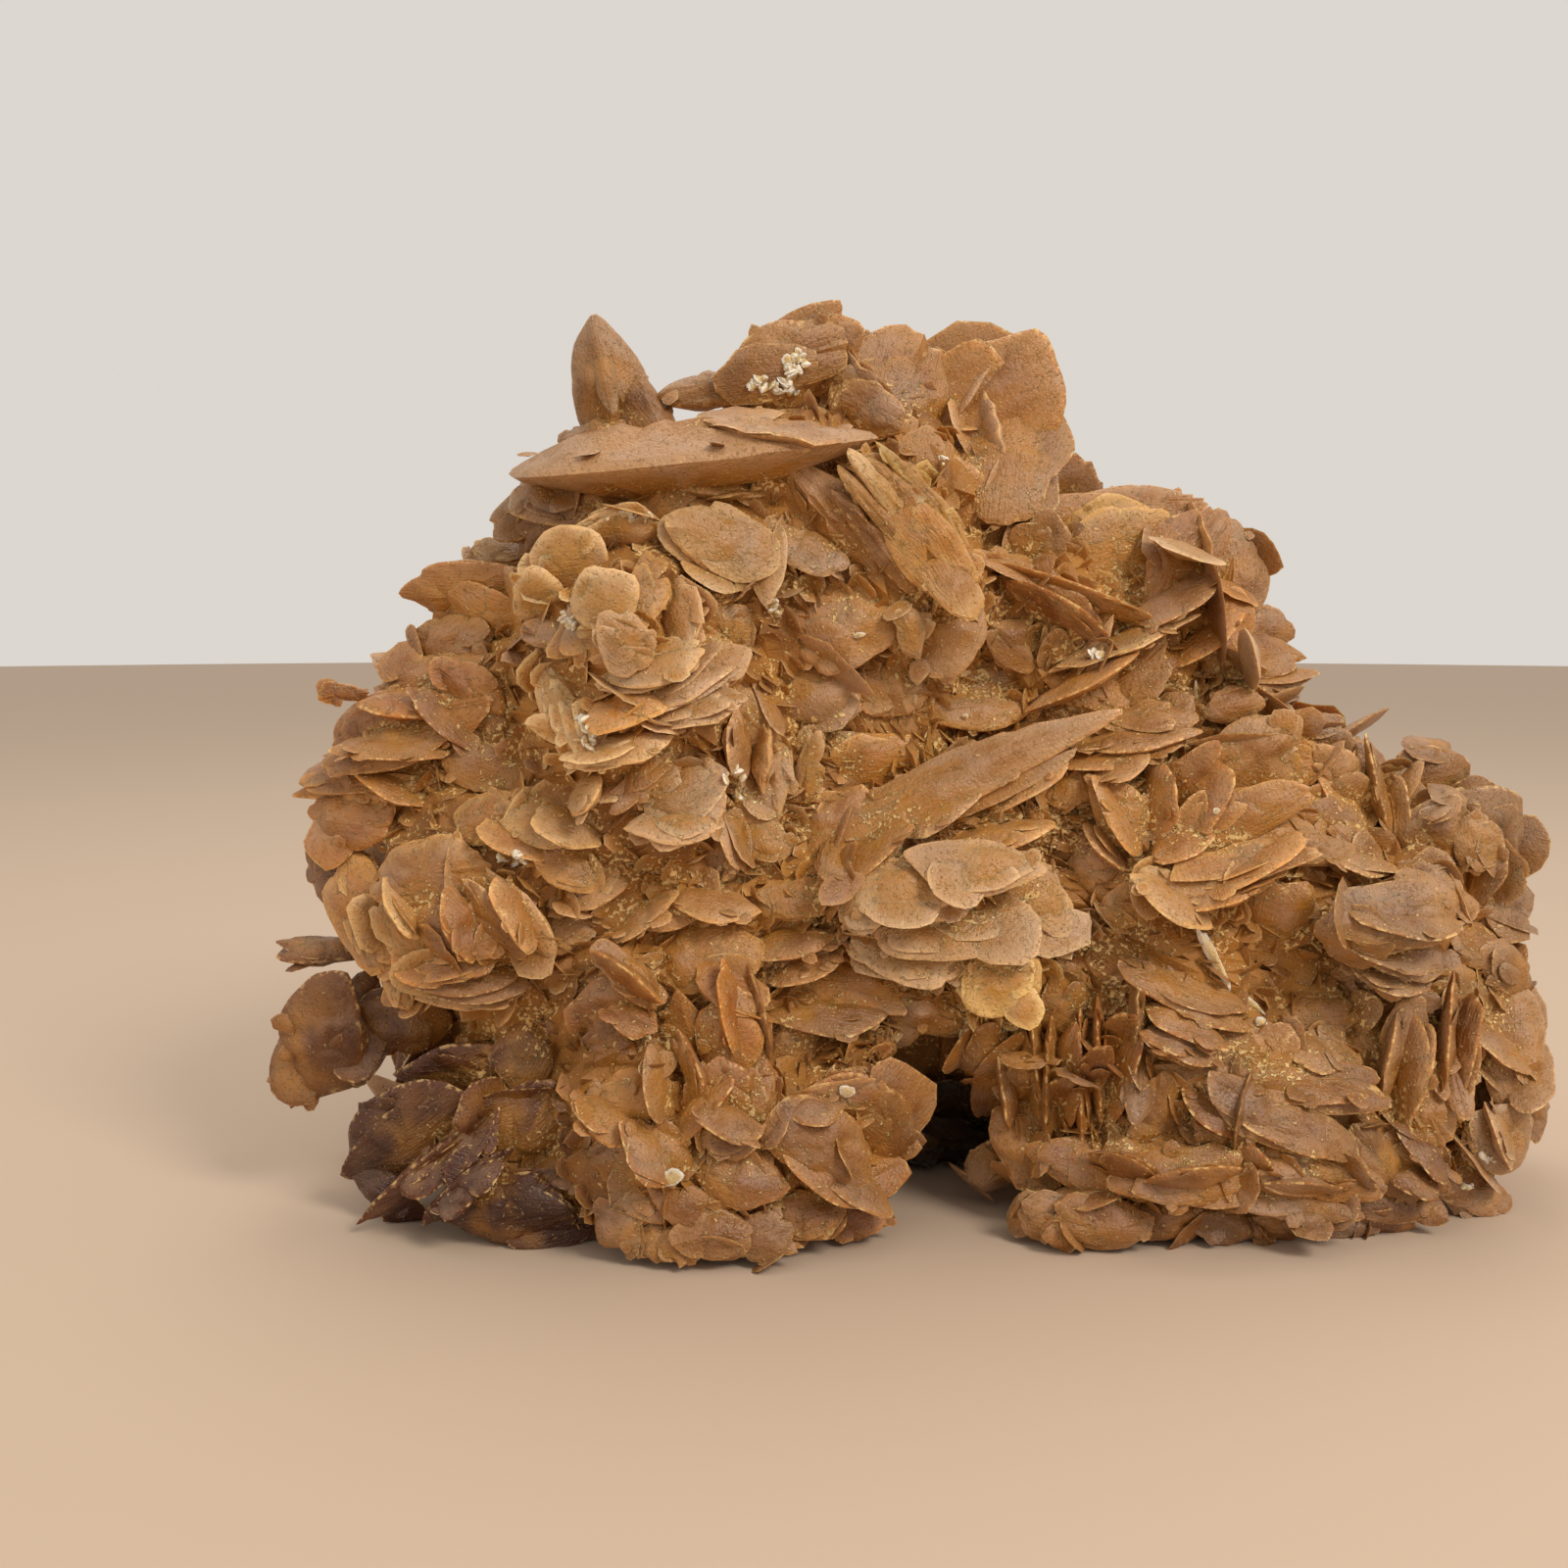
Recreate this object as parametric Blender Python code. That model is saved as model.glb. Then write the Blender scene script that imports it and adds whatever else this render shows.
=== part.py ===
"""Gypsum sand rose: one natural cluster of flattened, lens-shaped crystal blades grown into each other."""

import math
import random

import bmesh
import bpy
from mathutils import Matrix, Vector

MM = 0.001

# Front places are written on an upright drawing plane and pushed along lines from one eye point,
# so a blade keeps its place in the front view whatever its depth.
EYE_X = -18.9
EYE_Z = 86.0
EYE_DISTANCE = 228.6

# Shift that brings the middle of the bounding box over the origin.
SHIFT_X = -1.0
SHIFT_Y = -20.5

# A blade is a flat-faced lens: a sharp rim, a bevel up to a level face, and a root on its far side.
# The largest blades are level on both sides.
FACE_SHARE = 0.76
LOBE_DEPTH = 0.05
UNDERLAP = 1.0
THICKNESS_SHARE = 0.85
TWO_FACED = 11.5
# The root reaches this many half thicknesses behind the rim.
ROOT_REACH = 1.6
# A blade longer than this for its width has pointed ends.
SLENDER_RATIO = 2.2
POINTED_SHARE = 0.45
# Lobes round a rim: a sway of this share of the radius, this many times round.
SWAY = 0.04
SWAYS_ROUND = 3.0
# Rim corners of a blade, by its least half length (mm).
CORNER_STEPS = ((12.0, 11), (9.0, 9), (6.8, 8), (0.0, 7))
SEED = 7

# Facets within this angle of each other are made one level face.
LEVEL_ANGLE = math.radians(1.0)
# Share of the triangles kept when the slivers along the joins are taken out.
KEPT_SHARE = 0.455

# Each blade: across, up, depth, half length, half width, thickness (mm),
# then spin in the front view, lean back of its upper side and turn of its far end (degrees).
# The horn that stands alone at the upper left, and its foot.
HORN = [
    (-43.2, 117.0, 8, 12.6, 4.8, 6.0, 106, 8, -10),
    (-39.8, 116.8, 7, 12.6, 3.6, 5.0, 125, -10, 20),
    (-46, 112, 6, 7, 3.5, 4.5, 20, 40, 0),
]
# The long level blade under the horn, the tall top plate and the big top fan.
CROWN = [
    (-31.0, 110.8, -2, 27.5, 13, 6.0, 4, 82, 4),
    (-47.5, 108.4, -1, 11.6, 8, 4.6, 9, 78, -8),
    (-20.0, 112.6, -7, 13.5, 8, 3.4, -3, 74, 3),
    (-18.6, 122.2, 6, 10.8, 6.6, 4.0, 27, -14, 12),
    (-13.4, 124.0, 9, 7.5, 5.2, 3.2, 60, -10, -18),
    (-28.5, 118.4, 6, 9.0, 3.8, 4.5, 6, 34, 0),
    (-4.0, 117.6, 10, 11.8, 10.2, 4.6, 75, -6, 14),
    (8.6, 113.4, 13, 16.0, 12.8, 5.0, 44, 6, -6),
    (12.8, 108.8, 9, 13.4, 8.8, 4.2, 84, 0, 26),
    (17.0, 112.5, 16, 11.5, 5.6, 3.8, 70, 0, 38),
    (6.0, 100.5, 8, 11.5, 7.5, 5.0, -62, -12, 12),
    (13.5, 99.0, 9, 9.5, 6.0, 4.0, 82, -8, -14),
    (0.4, 107.6, 2, 6.4, 5.4, 2.8, 70, -6, 20),
]
# The thick striated prism that slopes down to the right below the top fan.
PRISM = [
    (0.6, 98.4, -7, 15.2, 6.6, 7.5, -43, 26, 8),
    (-8.2, 98.0, -5, 14.0, 5.6, 5.5, -46, -22, 6),
    (4.5, 91.5, -9, 7.6, 4.4, 4.5, -60, 20, -20),
]
# Plates in the shade under the long level blade.
UNDER_CROWN = [
    (-36.0, 103.6, -6, 5.6, 4.2, 3.2, 24, 24, 0),
    (-27.6, 96.6, -11, 8.6, 6.4, 4.0, -22, 18, 14),
    (-28.4, 90.4, -8, 7.6, 4.2, 3.4, 20, 50, 0),
    (-15.4, 95.8, -7, 6.8, 4.4, 3.2, -18, 30, 6),
    (-43.0, 103.0, 0, 6.8, 4.0, 4.0, -12, 20, -10),
    (-52.4, 99.6, 3, 7.0, 3.8, 4.0, 48, 12, -20),
]
# The pale ball of overlapping petals at the upper left.
ROSETTE = [
    (-54.4, 89.6, -12, 5.2, 4.5, 2.6, 80, 0, -34),
    (-50.0, 95.0, -12, 6.2, 5.2, 2.8, 10, -16, -16),
    (-44.6, 88.4, -24, 5.8, 5.2, 2.6, -30, -8, -4),
    (-38.8, 90.0, -19, 6.8, 3.2, 2.4, 94, 0, 34),
    (-33.6, 87.0, -18, 7.2, 3.6, 2.6, 112, 6, 34),
    (-42.6, 82.6, -25, 5.6, 4.4, 2.4, -50, 14, 10),
    (-43.0, 99.0, -10, 7.4, 4.6, 3.2, 2, -40, 0),
    (-37.6, 79.2, -22, 9.2, 4.6, 3.0, 16, 46, 6),
    (-36.2, 75.8, -20, 10.4, 4.6, 3.0, 18, 52, 4),
    (-31.8, 73.4, -20, 7.8, 4.4, 2.8, 18, 50, 6),
    (-42.2, 73.0, -23, 7.4, 4.6, 2.8, 8, 44, -4),
    (-43.4, 67.0, -22, 8.4, 4.2, 3.0, 8, 56, -4),
    (-52.0, 74.0, -17, 8.0, 4.0, 3.2, -68, 10, -26),
    (-34.0, 60.6, -18, 7.8, 6.2, 3.6, 36, 30, 10),
    (-33.6, 56.4, -20, 6.8, 4.6, 3.0, 14, 46, 8),
    (-30.0, 80.0, -13, 6.6, 5.0, 3.0, 20, 30, 22),
]
# The stack of long plates that points out to the left.
LEFT_FAN = [
    (-64.4, 90.0, 3, 10.6, 5.4, 3.8, 4, -16, -12),
    (-66.8, 82.6, 1, 8.4, 4.8, 3.6, 14, 18, -14),
    (-70.0, 77.4, -1, 12.0, 4.4, 3.4, 8, 18, -12),
    (-74.2, 71.0, -3, 14.6, 5.8, 3.8, 10, 14, -16),
    (-76.2, 67.0, -6, 12.8, 4.2, 3.0, 6, 34, -14),
    (-79.0, 62.4, -3, 13.4, 4.6, 3.2, 0, 40, -16),
    (-82.6, 56.8, -4, 9.4, 5.4, 3.4, -10, 14, -20),
    (-85.0, 49.6, -2, 6.4, 4.6, 3.6, -50, 0, -30),
    (-62.0, 72.0, -4, 7.4, 4.6, 3.6, -54, 8, -10),
    (-62.5, 64.5, -8, 7.6, 4.6, 3.4, -20, 20, -10),
]
# The broad petals below that stack.
LEFT_ROSETTE = [
    (-81.0, 42.6, -8, 11.0, 5.6, 3.8, -62, 0, -24),
    (-70.6, 47.6, -15, 10.4, 7.0, 4.0, -4, 10, -12),
    (-74.0, 40.0, -14, 8.6, 5.0, 3.4, -40, 10, -22),
    (-50.8, 50.4, -16, 7.0, 4.8, 3.0, -20, 34, 4),
    (-54.0, 56.0, -16, 6.6, 4.0, 2.8, -14, 36, -4),
    (-62.2, 57.2, -13, 6.6, 4.2, 3.0, 16, 26, -8),
    (-46.8, 46.6, -15, 5.0, 3.8, 2.6, 30, 40, 10),
    (-51.2, 41.0, -13, 5.4, 4.4, 2.8, 60, 6, 24),
    (-57.4, 42.4, -17, 8.8, 3.2, 2.8, -50, -24, -4),
    (-61.4, 42.0, -19, 8.4, 3.0, 2.6, -52, -20, -4),
    (-67.0, 40.6, -18, 7.4, 5.0, 3.0, -10, 22, -10),
    (-66.4, 33.0, -15, 9.4, 4.2, 2.8, -2, 50, -4),
    (-65.6, 30.6, -12, 8.6, 4.0, 2.6, 2, 54, 0),
]
# The big oval plate low on the left and the blade tip above it.
OVAL = [
    (-87.4, 24.4, -7, 11.2, 8.0, 4.2, 72, 4, -10),
    (-87.0, 37.2, -2, 8.4, 3.4, 3.4, 2, 64, 0),
    (-82.4, 25.6, -4, 9.6, 5.2, 3.6, 80, 0, 24),
    (-75.0, 26.4, -3, 7.2, 5.4, 4.0, -30, 10, 20),
]
# The dark glossy plates of the lower left corner.
DARK_FAN = [
    (-75.4, 8.8, -11, 13.4, 8.8, 4.4, 38, -10, -14),
    (-70.6, 5.0, -16, 14.4, 4.4, 3.0, 38, -52, 0),
    (-80.0, 1.4, -10, 7.0, 4.0, 3.4, -38, 0, -20),
    (-60.0, -2.4, -20, 11.2, 6.4, 4.4, 14, -6, -6),
    (-66.0, 1.4, -20, 10.2, 3.6, 2.8, 44, -52, 0),
    (-57.6, 11.0, -15, 9.6, 7.6, 4.2, 30, -8, 6),
    (-65.6, 19.6, -8, 10.4, 5.6, 4.2, 10, -30, -6),
    (-57.0, 22.0, -10, 6.4, 5.0, 3.6, 60, 0, 14),
]
# The left foot: upright plates above, small overlapping discs at the floor.
FOOT_LEFT = [
    (-44.2, 28.2, -18, 7.6, 6.0, 3.4, 20, -6, -10),
    (-42.0, 33.6, -19, 7.4, 3.4, 2.8, -42, 34, 0),
    (-43.0, 14.4, -24, 7.8, 5.2, 3.0, 4, 16, -8),
    (-42.8, 4.8, -24, 7.8, 5.4, 3.2, -14, 14, -14),
    (-27.0, 24.0, -19, 8.8, 6.0, 3.6, 88, -8, 6),
    (-33.6, 24.0, -17, 8.8, 4.2, 3.2, 96, 0, -20),
    (-29.0, 14.0, -22, 9.4, 5.4, 3.6, 78, -6, -14),
    (-23.4, 14.0, -21, 8.4, 4.4, 3.4, 92, 0, 22),
    (-26.4, 2.6, -26, 8.2, 4.8, 3.0, -20, 22, 0),
    (-14.0, 7.4, -24, 9.6, 6.6, 3.8, -36, 12, 4),
    (-4.0, 9.2, -16, 11.4, 5.6, 3.8, -66, 0, 34),
    (-8.6, 15.0, -20, 8.0, 6.0, 3.4, -20, -20, 14),
    (-6.4, 2.4, -18, 8.6, 4.6, 3.2, 10, 34, 14),
    (-17.6, 25.0, -12, 7.0, 4.4, 4.0, 84, 0, 26),
    (-44.0, -4.8, -26, 4.8, 4.2, 2.2, -10, 10, -10),
    (-29.0, -6.4, -28, 6.4, 4.4, 3.0, -10, 24, 0),
    (-22.6, -6.8, -27, 5.8, 3.8, 2.6, 14, 24, 6),
    (-14.6, -3.6, -23, 6.2, 3.8, 2.6, 14, 24, 8),
    (-33.0, -2.0, -27, 6.6, 4.2, 2.8, -24, 24, 0),
]
# The middle: the long diagonal ridge, the amber plates round it and the bar over the arch.
MIDDLE = [
    (-6.0, 65.6, -3, 9.0, 5.4, 3.2, 0, -6, 6),
    (6.4, 62.2, -8, 27.0, 4.6, 5.0, 25, 34, 0),
    (-11.6, 54.6, -7, 8.8, 5.8, 3.4, 42, 16, 0),
    (-10.8, 51.0, -11, 9.2, 3.4, 2.6, 79, 0, 66),
    (-4.0, 54.2, -9, 9.6, 4.2, 3.2, 46, 24, 10),
    (8.6, 52.6, -8, 8.8, 3.8, 3.0, 10, 46, 0),
    (8.4, 72.4, 0, 10.0, 4.2, 3.4, 3, 44, 6),
    (10.6, 77.2, 4, 9.0, 4.4, 3.4, -4, 20, 6),
    (-10.0, 84.8, -5, 10.2, 7.4, 4.2, 12, 10, -4),
    (4.6, 84.2, -3, 9.0, 6.0, 4.0, 78, 6, 10),
    (-14.0, 75.0, -3, 8.0, 5.4, 4.4, 0, 10, 0),
    (-4.0, 76.0, -1, 7.0, 5.4, 4.4, 20, 10, 0),
    (-24.4, 72.0, -9, 7.4, 4.6, 3.6, -56, 10, 10),
    (-20.0, 65.0, -6, 7.4, 3.0, 3.4, 92, 0, 20),
    (-17.0, 44.6, -11, 6.6, 3.8, 3.0, 0, 30, 0),
    (-16.0, 37.2, -10, 8.2, 3.4, 2.6, 26, 50, 0),
    (-9.6, 32.4, -8, 11.0, 4.6, 4.4, -2, 20, 0),
    (-30.6, 36.4, -14, 9.0, 6.4, 5.0, 10, 20, 0),
    (-36.4, 43.4, -13, 9.4, 4.2, 3.6, 12, 44, 0),
    (-27.8, 52.6, -9, 6.8, 3.6, 3.6, 82, 0, 12),
    (1.0, 29.0, -7, 9.0, 5.0, 5.0, -12, 20, 0),
]
# The scalloped plates that lie like roof tiles over the arch.
SHINGLES = [
    (0.6, 36.6, -12, 10.6, 5.2, 3.0, -4, 30, 0),
    (4.6, 40.2, -14, 14.4, 6.0, 3.0, 2, 34, 0),
    (1.0, 46.0, -16, 11.6, 5.8, 2.8, 0, 34, 0),
    (8.8, 49.4, -17, 11.4, 5.0, 2.8, -4, 36, 0),
    (13.6, 32.8, -14, 6.4, 6.0, 3.2, 30, 10, 8),
    (18.0, 44.0, -11, 5.4, 7.0, 3.4, 20, 10, 20),
]
# The large yellow plate, the crossing edge-on blades and the notched edge at the upper right.
TOP_RIGHT = [
    (30.6, 100.6, 13, 13.4, 5.6, 4.0, 4, 14, 6),
    (27.6, 96.2, 9, 12.4, 7.4, 4.0, 8, 2, 4),
    (38.6, 93.8, 6, 10.8, 5.6, 3.4, 54, 0, 16),
    (45.6, 93.0, 13, 9.2, 6.0, 3.8, 84, 0, 22),
    (51.0, 84.4, 13, 5.6, 4.6, 3.0, 0, 0, 24),
    (44.6, 84.6, 6, 8.0, 4.6, 3.6, 70, 4, 18),
    (49.2, 81.6, 8, 8.0, 3.6, 2.4, 4, 36, 16),
    (49.8, 79.2, 6, 8.2, 3.4, 2.0, 16, 52, 10),
    (50.4, 77.0, 5, 8.4, 3.4, 2.0, 20, 60, 10),
    (51.6, 73.6, 5, 6.6, 3.4, 2.4, -12, 30, 20),
    (20.6, 90.2, 1, 13.0, 3.6, 3.2, -26, 42, 0),
    (20.6, 87.4, -1, 9.0, 3.8, 2.8, -28, -30, 0),
    (14.6, 82.6, 0, 5.6, 3.6, 2.6, -45, 0, 14),
    (31.6, 76.4, 1, 8.4, 3.6, 3.0, 52, 20, 0),
    (35.6, 78.0, 3, 6.6, 4.8, 3.6, 30, 0, 8),
    (34.4, 71.4, -3, 7.8, 3.4, 2.6, 8, 40, 0),
    (25.6, 75.4, 0, 8.0, 3.6, 3.0, -14, 16, 0),
]
# The plates that radiate from one point right of the middle.
RIGHT_FAN = [
    (48.6, 62.6, -3, 14.2, 6.8, 4.0, 48, -8, -4),
    (39.6, 60.6, -6, 10.4, 3.8, 3.0, 60, 0, -20),
    (30.6, 57.6, -8, 8.0, 4.2, 3.2, -54, 0, -8),
    (46.6, 56.4, -9, 13.2, 4.6, 3.2, 22, 16, 0),
    (63.4, 60.0, 1, 11.0, 5.0, 3.6, -54, 0, 24),
    (57.0, 62.0, -1, 7.6, 5.0, 3.2, -62, 0, 10),
    (48.4, 49.6, -13, 13.6, 3.8, 2.8, 17, 42, 0),
    (56.0, 53.4, -8, 12.0, 4.4, 3.2, -4, 44, 8),
    (37.6, 46.4, -13, 5.4, 3.4, 2.4, -36, 0, -6),
    (31.4, 44.0, -9, 4.4, 3.8, 3.0, 20, 0, 0),
    (27.4, 51.6, -6, 5.4, 4.4, 4.0, 0, 20, 0),
    (54.8, 43.2, -9, 6.0, 4.8, 3.0, 80, 0, -14),
]
# The rounded cluster that ends the right side, with its spike and its tongue plates.
RIGHT_ROSETTE = [
    (75.4, 62.6, 5, 7.8, 5.8, 3.6, -4, 0, 10),
    (83.0, 55.0, 5, 10.2, 7.4, 4.2, -48, 0, 22),
    (86.0, 44.4, 2, 7.8, 5.8, 4.0, 80, 0, 30),
    (70.4, 59.0, 2, 7.4, 4.4, 3.4, -74, 0, -14),
    (77.6, 55.6, -3, 6.0, 5.2, 3.0, 40, 0, -8),
    (82.6, 53.0, -5, 5.2, 3.4, 2.4, 88, 0, 14),
    (70.4, 42.4, -16, 9.8, 5.4, 3.4, -10, 22, -4),
    (73.6, 36.2, -13, 8.2, 4.4, 2.6, -12, 44, 0),
    (77.0, 45.2, -12, 8.6, 4.2, 2.8, -12, 40, 6),
    (66.0, 50.6, -4, 9.0, 4.4, 3.4, -40, 16, 10),
    (64.6, 34.6, -4, 7.6, 3.8, 3.4, -6, -10, 0),
    (84.0, 37.6, -3, 7.4, 4.2, 3.4, -14, 30, 16),
]
# The lobes and curved upright blades of the lower right end.
RIGHT_SIDE = [
    (90.0, 23.2, -5, 10.0, 6.6, 4.2, 80, 0, 22),
    (88.4, 33.4, -3, 7.0, 4.2, 3.4, -36, 14, 22),
    (92.0, 14.4, -2, 7.2, 4.8, 3.6, 70, 0, 36),
    (88.0, 8.6, -9, 7.4, 6.0, 4.0, 20, 6, 20),
    (84.6, 0.4, -8, 8.0, 4.8, 3.6, -14, 16, 16),
    (80.4, 20.6, -10, 10.8, 3.4, 2.8, 93, 0, 44),
    (76.6, 15.0, -12, 9.4, 4.4, 3.2, -70, 0, -20),
    (73.6, 24.6, -10, 8.2, 4.0, 3.2, 80, 0, -14),
    (68.6, 25.6, -6, 6.6, 3.6, 3.2, 88, 0, 20),
    (62.4, 22.4, -12, 5.4, 3.0, 2.4, -32, 40, 0),
    (61.0, 27.4, -8, 7.0, 4.0, 4.0, 4, 30, 0),
    (82.0, 30.4, -5, 6.6, 4.0, 3.2, -40, 10, 10),
]
# The right foot: edge-on upright blades on the left, long tilted plates, small discs at the floor.
BLOCK = [
    (12.0, 19.0, -7, 11.4, 4.6, 3.6, 97, 0, -34),
    (16.6, 16.6, -10, 12.2, 3.6, 3.0, 94, 0, -50),
    (22.4, 28.4, -9, 7.8, 4.6, 3.6, 82, -6, -8),
    (22.0, 15.0, -13, 11.6, 3.4, 2.8, 82, 0, -56),
    (26.6, 17.4, -14, 13.2, 3.4, 2.8, 86, 0, -50),
    (30.6, 23.0, -13, 13.2, 3.6, 3.0, 84, 0, -54),
    (34.4, 23.0, -14, 13.6, 3.8, 3.2, 76, 0, 40),
    (36.6, 12.0, -18, 8.0, 3.8, 2.8, 86, 0, -10),
    (11.6, 3.6, -7, 5.6, 4.2, 3.2, 64, 0, -26),
    (17.4, 6.4, -13, 8.4, 4.8, 3.2, -60, 8, -16),
    (43.4, 28.6, -13, 9.8, 4.2, 3.2, -35, 14, 0),
    (40.6, 22.8, -17, 6.6, 3.4, 2.6, -16, 34, 0),
    (50.0, 21.6, -15, 8.4, 4.8, 3.2, 24, 10, 0),
    (58.6, 16.4, -17, 13.6, 4.6, 3.2, -9, 36, 0),
    (55.6, 11.2, -21, 14.6, 5.2, 3.2, -18, 30, 4),
    (61.6, 3.4, -21, 12.0, 5.2, 3.2, -16, 24, 4),
    (57.6, -1.4, -22, 12.4, 4.0, 2.8, -8, 34, 0),
    (40.8, 2.2, -23, 11.4, 5.0, 3.0, 3, 28, 0),
    (45.4, 7.6, -20, 6.6, 3.8, 3.0, 58, 0, -10),
    (25.6, 4.6, -18, 7.6, 5.0, 3.6, -12, 20, -6),
    (70.6, 4.4, -17, 8.4, 3.8, 2.8, -48, 10, 10),
    (76.6, 4.6, -14, 8.0, 4.6, 3.0, -40, 14, 12),
    (72.0, -1.6, -16, 7.4, 3.8, 3.0, -6, 28, 6),
    (29.0, -4.2, -22, 8.2, 4.8, 3.4, -4, 16, 0),
    (20.6, -4.0, -20, 5.2, 4.2, 2.8, -20, 14, -14),
    (39.0, -4.4, -20, 6.0, 3.6, 3.4, 20, 16, 0),
    (47.0, -4.2, -19, 6.2, 3.4, 3.2, -12, 20, 0),
    (55.0, -4.4, -18, 6.8, 3.2, 3.0, 2, 22, 0),
    (64.0, -4.2, -16, 7.0, 3.2, 3.0, -4, 22, 0),
]

FRONT_GROUPS = (
    HORN,
    CROWN,
    PRISM,
    UNDER_CROWN,
    ROSETTE,
    LEFT_FAN,
    LEFT_ROSETTE,
    OVAL,
    DARK_FAN,
    FOOT_LEFT,
    MIDDLE,
    SHINGLES,
    TOP_RIGHT,
    RIGHT_FAN,
    RIGHT_ROSETTE,
    RIGHT_SIDE,
    BLOCK,
)

# Outline of the grown-together mass in the front view (mm), drawn in from the blade tips.
BODY_MIDDLE = (3.0, 56.0)
BODY_OUTLINE = [
    (88, 22), (85, 38), (84, 52), (72, 61), (58, 65), (46, 82), (38, 97), (18, 99), (12, 112), (-4, 119),
    (-24, 115), (-42, 107), (-50, 93), (-66, 81), (-80, 66), (-79, 48), (-76, 34), (-76, 14), (-66, -2),
    (-40, -4), (-20, -3), (-10, 3), (-6, 16), (-3, 26), (4, 30), (10.5, 27), (14.5, 16), (19, 3),
    (34, -3), (60, -3), (82, 0),
]
# The arch between the feet is closed at the back: outline points nearer the middle and lower than this.
ARCH_REACH = 24.0
ARCH_TOP = 31.0
# Shares of the outline for the rings of the front face, and how far the rim is set back.
BODY_SHARES = (0.3, 0.54, 0.77, 0.95)
BODY_SET_BACK = 0.9
RIM_SET_BACK = 9.0
# Softening (square mm) where the depth of the front is taken from the blades near a place.
SMOOTHING = 6.0
# The back is a dome over the same outline: shares of its rings, depth of its top and drop to its rim.
BACK_SHARES = (0.98, 0.86, 0.62, 0.3)
BACK_DEPTH = 58.0
BACK_DROP = 44.0
LOWEST = 4.0

# Blades that stand out of the back and the ends: for each ring, share of the outline and blade count.
BACK_BLADES = ((1.0, 26), (0.96, 20), (0.88, 18), (0.75, 16), (0.55, 11), (0.3, 6), (0.1, 2))
BACK_BLADE_LENGTH = 15.0
RIM_BLADE_LENGTH = 10.5
# Ranges: place along the ring in blade spacings, share of the length, width to length,
# thickness (mm) and tilt off the dome (degrees).
PLACE_RANGE = (0.0, 0.6)
LENGTH_RANGE = (0.8, 1.15)
WIDTH_RANGE = (0.6, 0.85)
THICKNESS_RANGE = (3.0, 4.4)
TILT_RANGE = (12.0, 68.0)

# Feet: centre and half sizes (mm). They are worn level where they stand.
FEET = [
    (-56.0, -2.0, 8.0, 11.0, 11.0, 10.0),
    (-26.0, -10.0, 8.0, 12.0, 11.0, 10.0),
    (34.0, -6.0, 8.0, 12.0, 11.0, 10.0),
    (66.0, 2.0, 8.0, 12.0, 11.0, 10.0),
    (-34.0, 38.0, 8.0, 13.0, 11.0, 10.0),
    (46.0, 40.0, 8.0, 13.0, 11.0, 10.0),
]
SWELL_RANGE = (0.93, 1.05)

# Points closer than this (m) are one point after the joining.
WELD = 1e-6
# Block below the standing plane: side and height (m).
GROUND_SIDE = 0.4
GROUND_HEIGHT = 0.1
GYPSUM_COLOUR = (0.48, 0.27, 0.12, 1.0)
GYPSUM_ROUGHNESS = 0.6


def pushed(across, up, depth):
    """Point of the drawing plane (across, up) moved along its line from the eye to the given depth."""
    spread = 1.0 + depth / EYE_DISTANCE
    x = EYE_X + (across - EYE_X) * spread
    z = EYE_Z + (up - EYE_Z) * spread
    return Vector((x, depth, z)), spread


def blade_axes(spin, lean, turn):
    """Long axis, width axis and face normal of a blade, from its three angles in degrees."""
    spin, lean, turn = (math.radians(v) for v in (spin, lean, turn))
    long_axis = Vector((math.cos(spin), 0.0, math.sin(spin)))
    width = Vector((-math.sin(spin), 0.0, math.cos(spin)))
    normal = Vector((0.0, -1.0, 0.0))
    width, normal = (
        width * math.cos(lean) - normal * math.sin(lean),
        normal * math.cos(lean) + width * math.sin(lean),
    )
    long_axis, normal = (
        long_axis * math.cos(turn) - normal * math.sin(turn),
        normal * math.cos(turn) + long_axis * math.sin(turn),
    )
    return long_axis, width, normal


def blade_object(name, centre, axes, half_length, half_width, thickness, dice):
    """Lens blade: rim ring at mid thickness, a smaller level ring in front, and a ring or a root point behind."""
    count = next(corners for least, corners in CORNER_STEPS if half_length >= least)
    long_axis, width, normal = axes
    slender = half_length / half_width > SLENDER_RATIO
    phase = dice.uniform(0.0, 2.0 * math.pi)
    rim = []
    for index in range(count):
        angle = 2.0 * math.pi * index / count
        lobe = 1.0 + LOBE_DEPTH * (1.0 if index % 2 else -1.0)
        lobe += SWAY * math.sin(SWAYS_ROUND * angle + phase)
        along = math.cos(angle) * lobe
        aside = math.sin(angle) * lobe
        if slender:
            aside *= 1.0 - POINTED_SHARE + POINTED_SHARE * abs(math.sin(angle))
        rim.append(long_axis * (half_length * along) + width * (half_width * aside))
    mesh = bpy.data.meshes.new(name)
    shape = bmesh.new()
    lift = normal * (0.5 * thickness)
    edge = [shape.verts.new((centre + point) * MM) for point in rim]
    face = [shape.verts.new((centre + point * FACE_SHARE + lift) * MM) for point in rim]
    for index in range(count):
        after = (index + 1) % count
        shape.faces.new((edge[index], edge[after], face[after], face[index]))
    shape.faces.new(face)
    if half_length >= TWO_FACED:
        back = [shape.verts.new((centre + point * FACE_SHARE - lift) * MM) for point in rim]
        for index in range(count):
            after = (index + 1) % count
            shape.faces.new((edge[after], edge[index], back[index], back[after]))
        shape.faces.new(list(reversed(back)))
    else:
        root = shape.verts.new((centre - lift * ROOT_REACH) * MM)
        for index in range(count):
            shape.faces.new((edge[(index + 1) % count], edge[index], root))
    bmesh.ops.recalc_face_normals(shape, faces=shape.faces)
    shape.to_mesh(mesh)
    shape.free()
    return bpy.data.objects.new(name, mesh)


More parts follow.
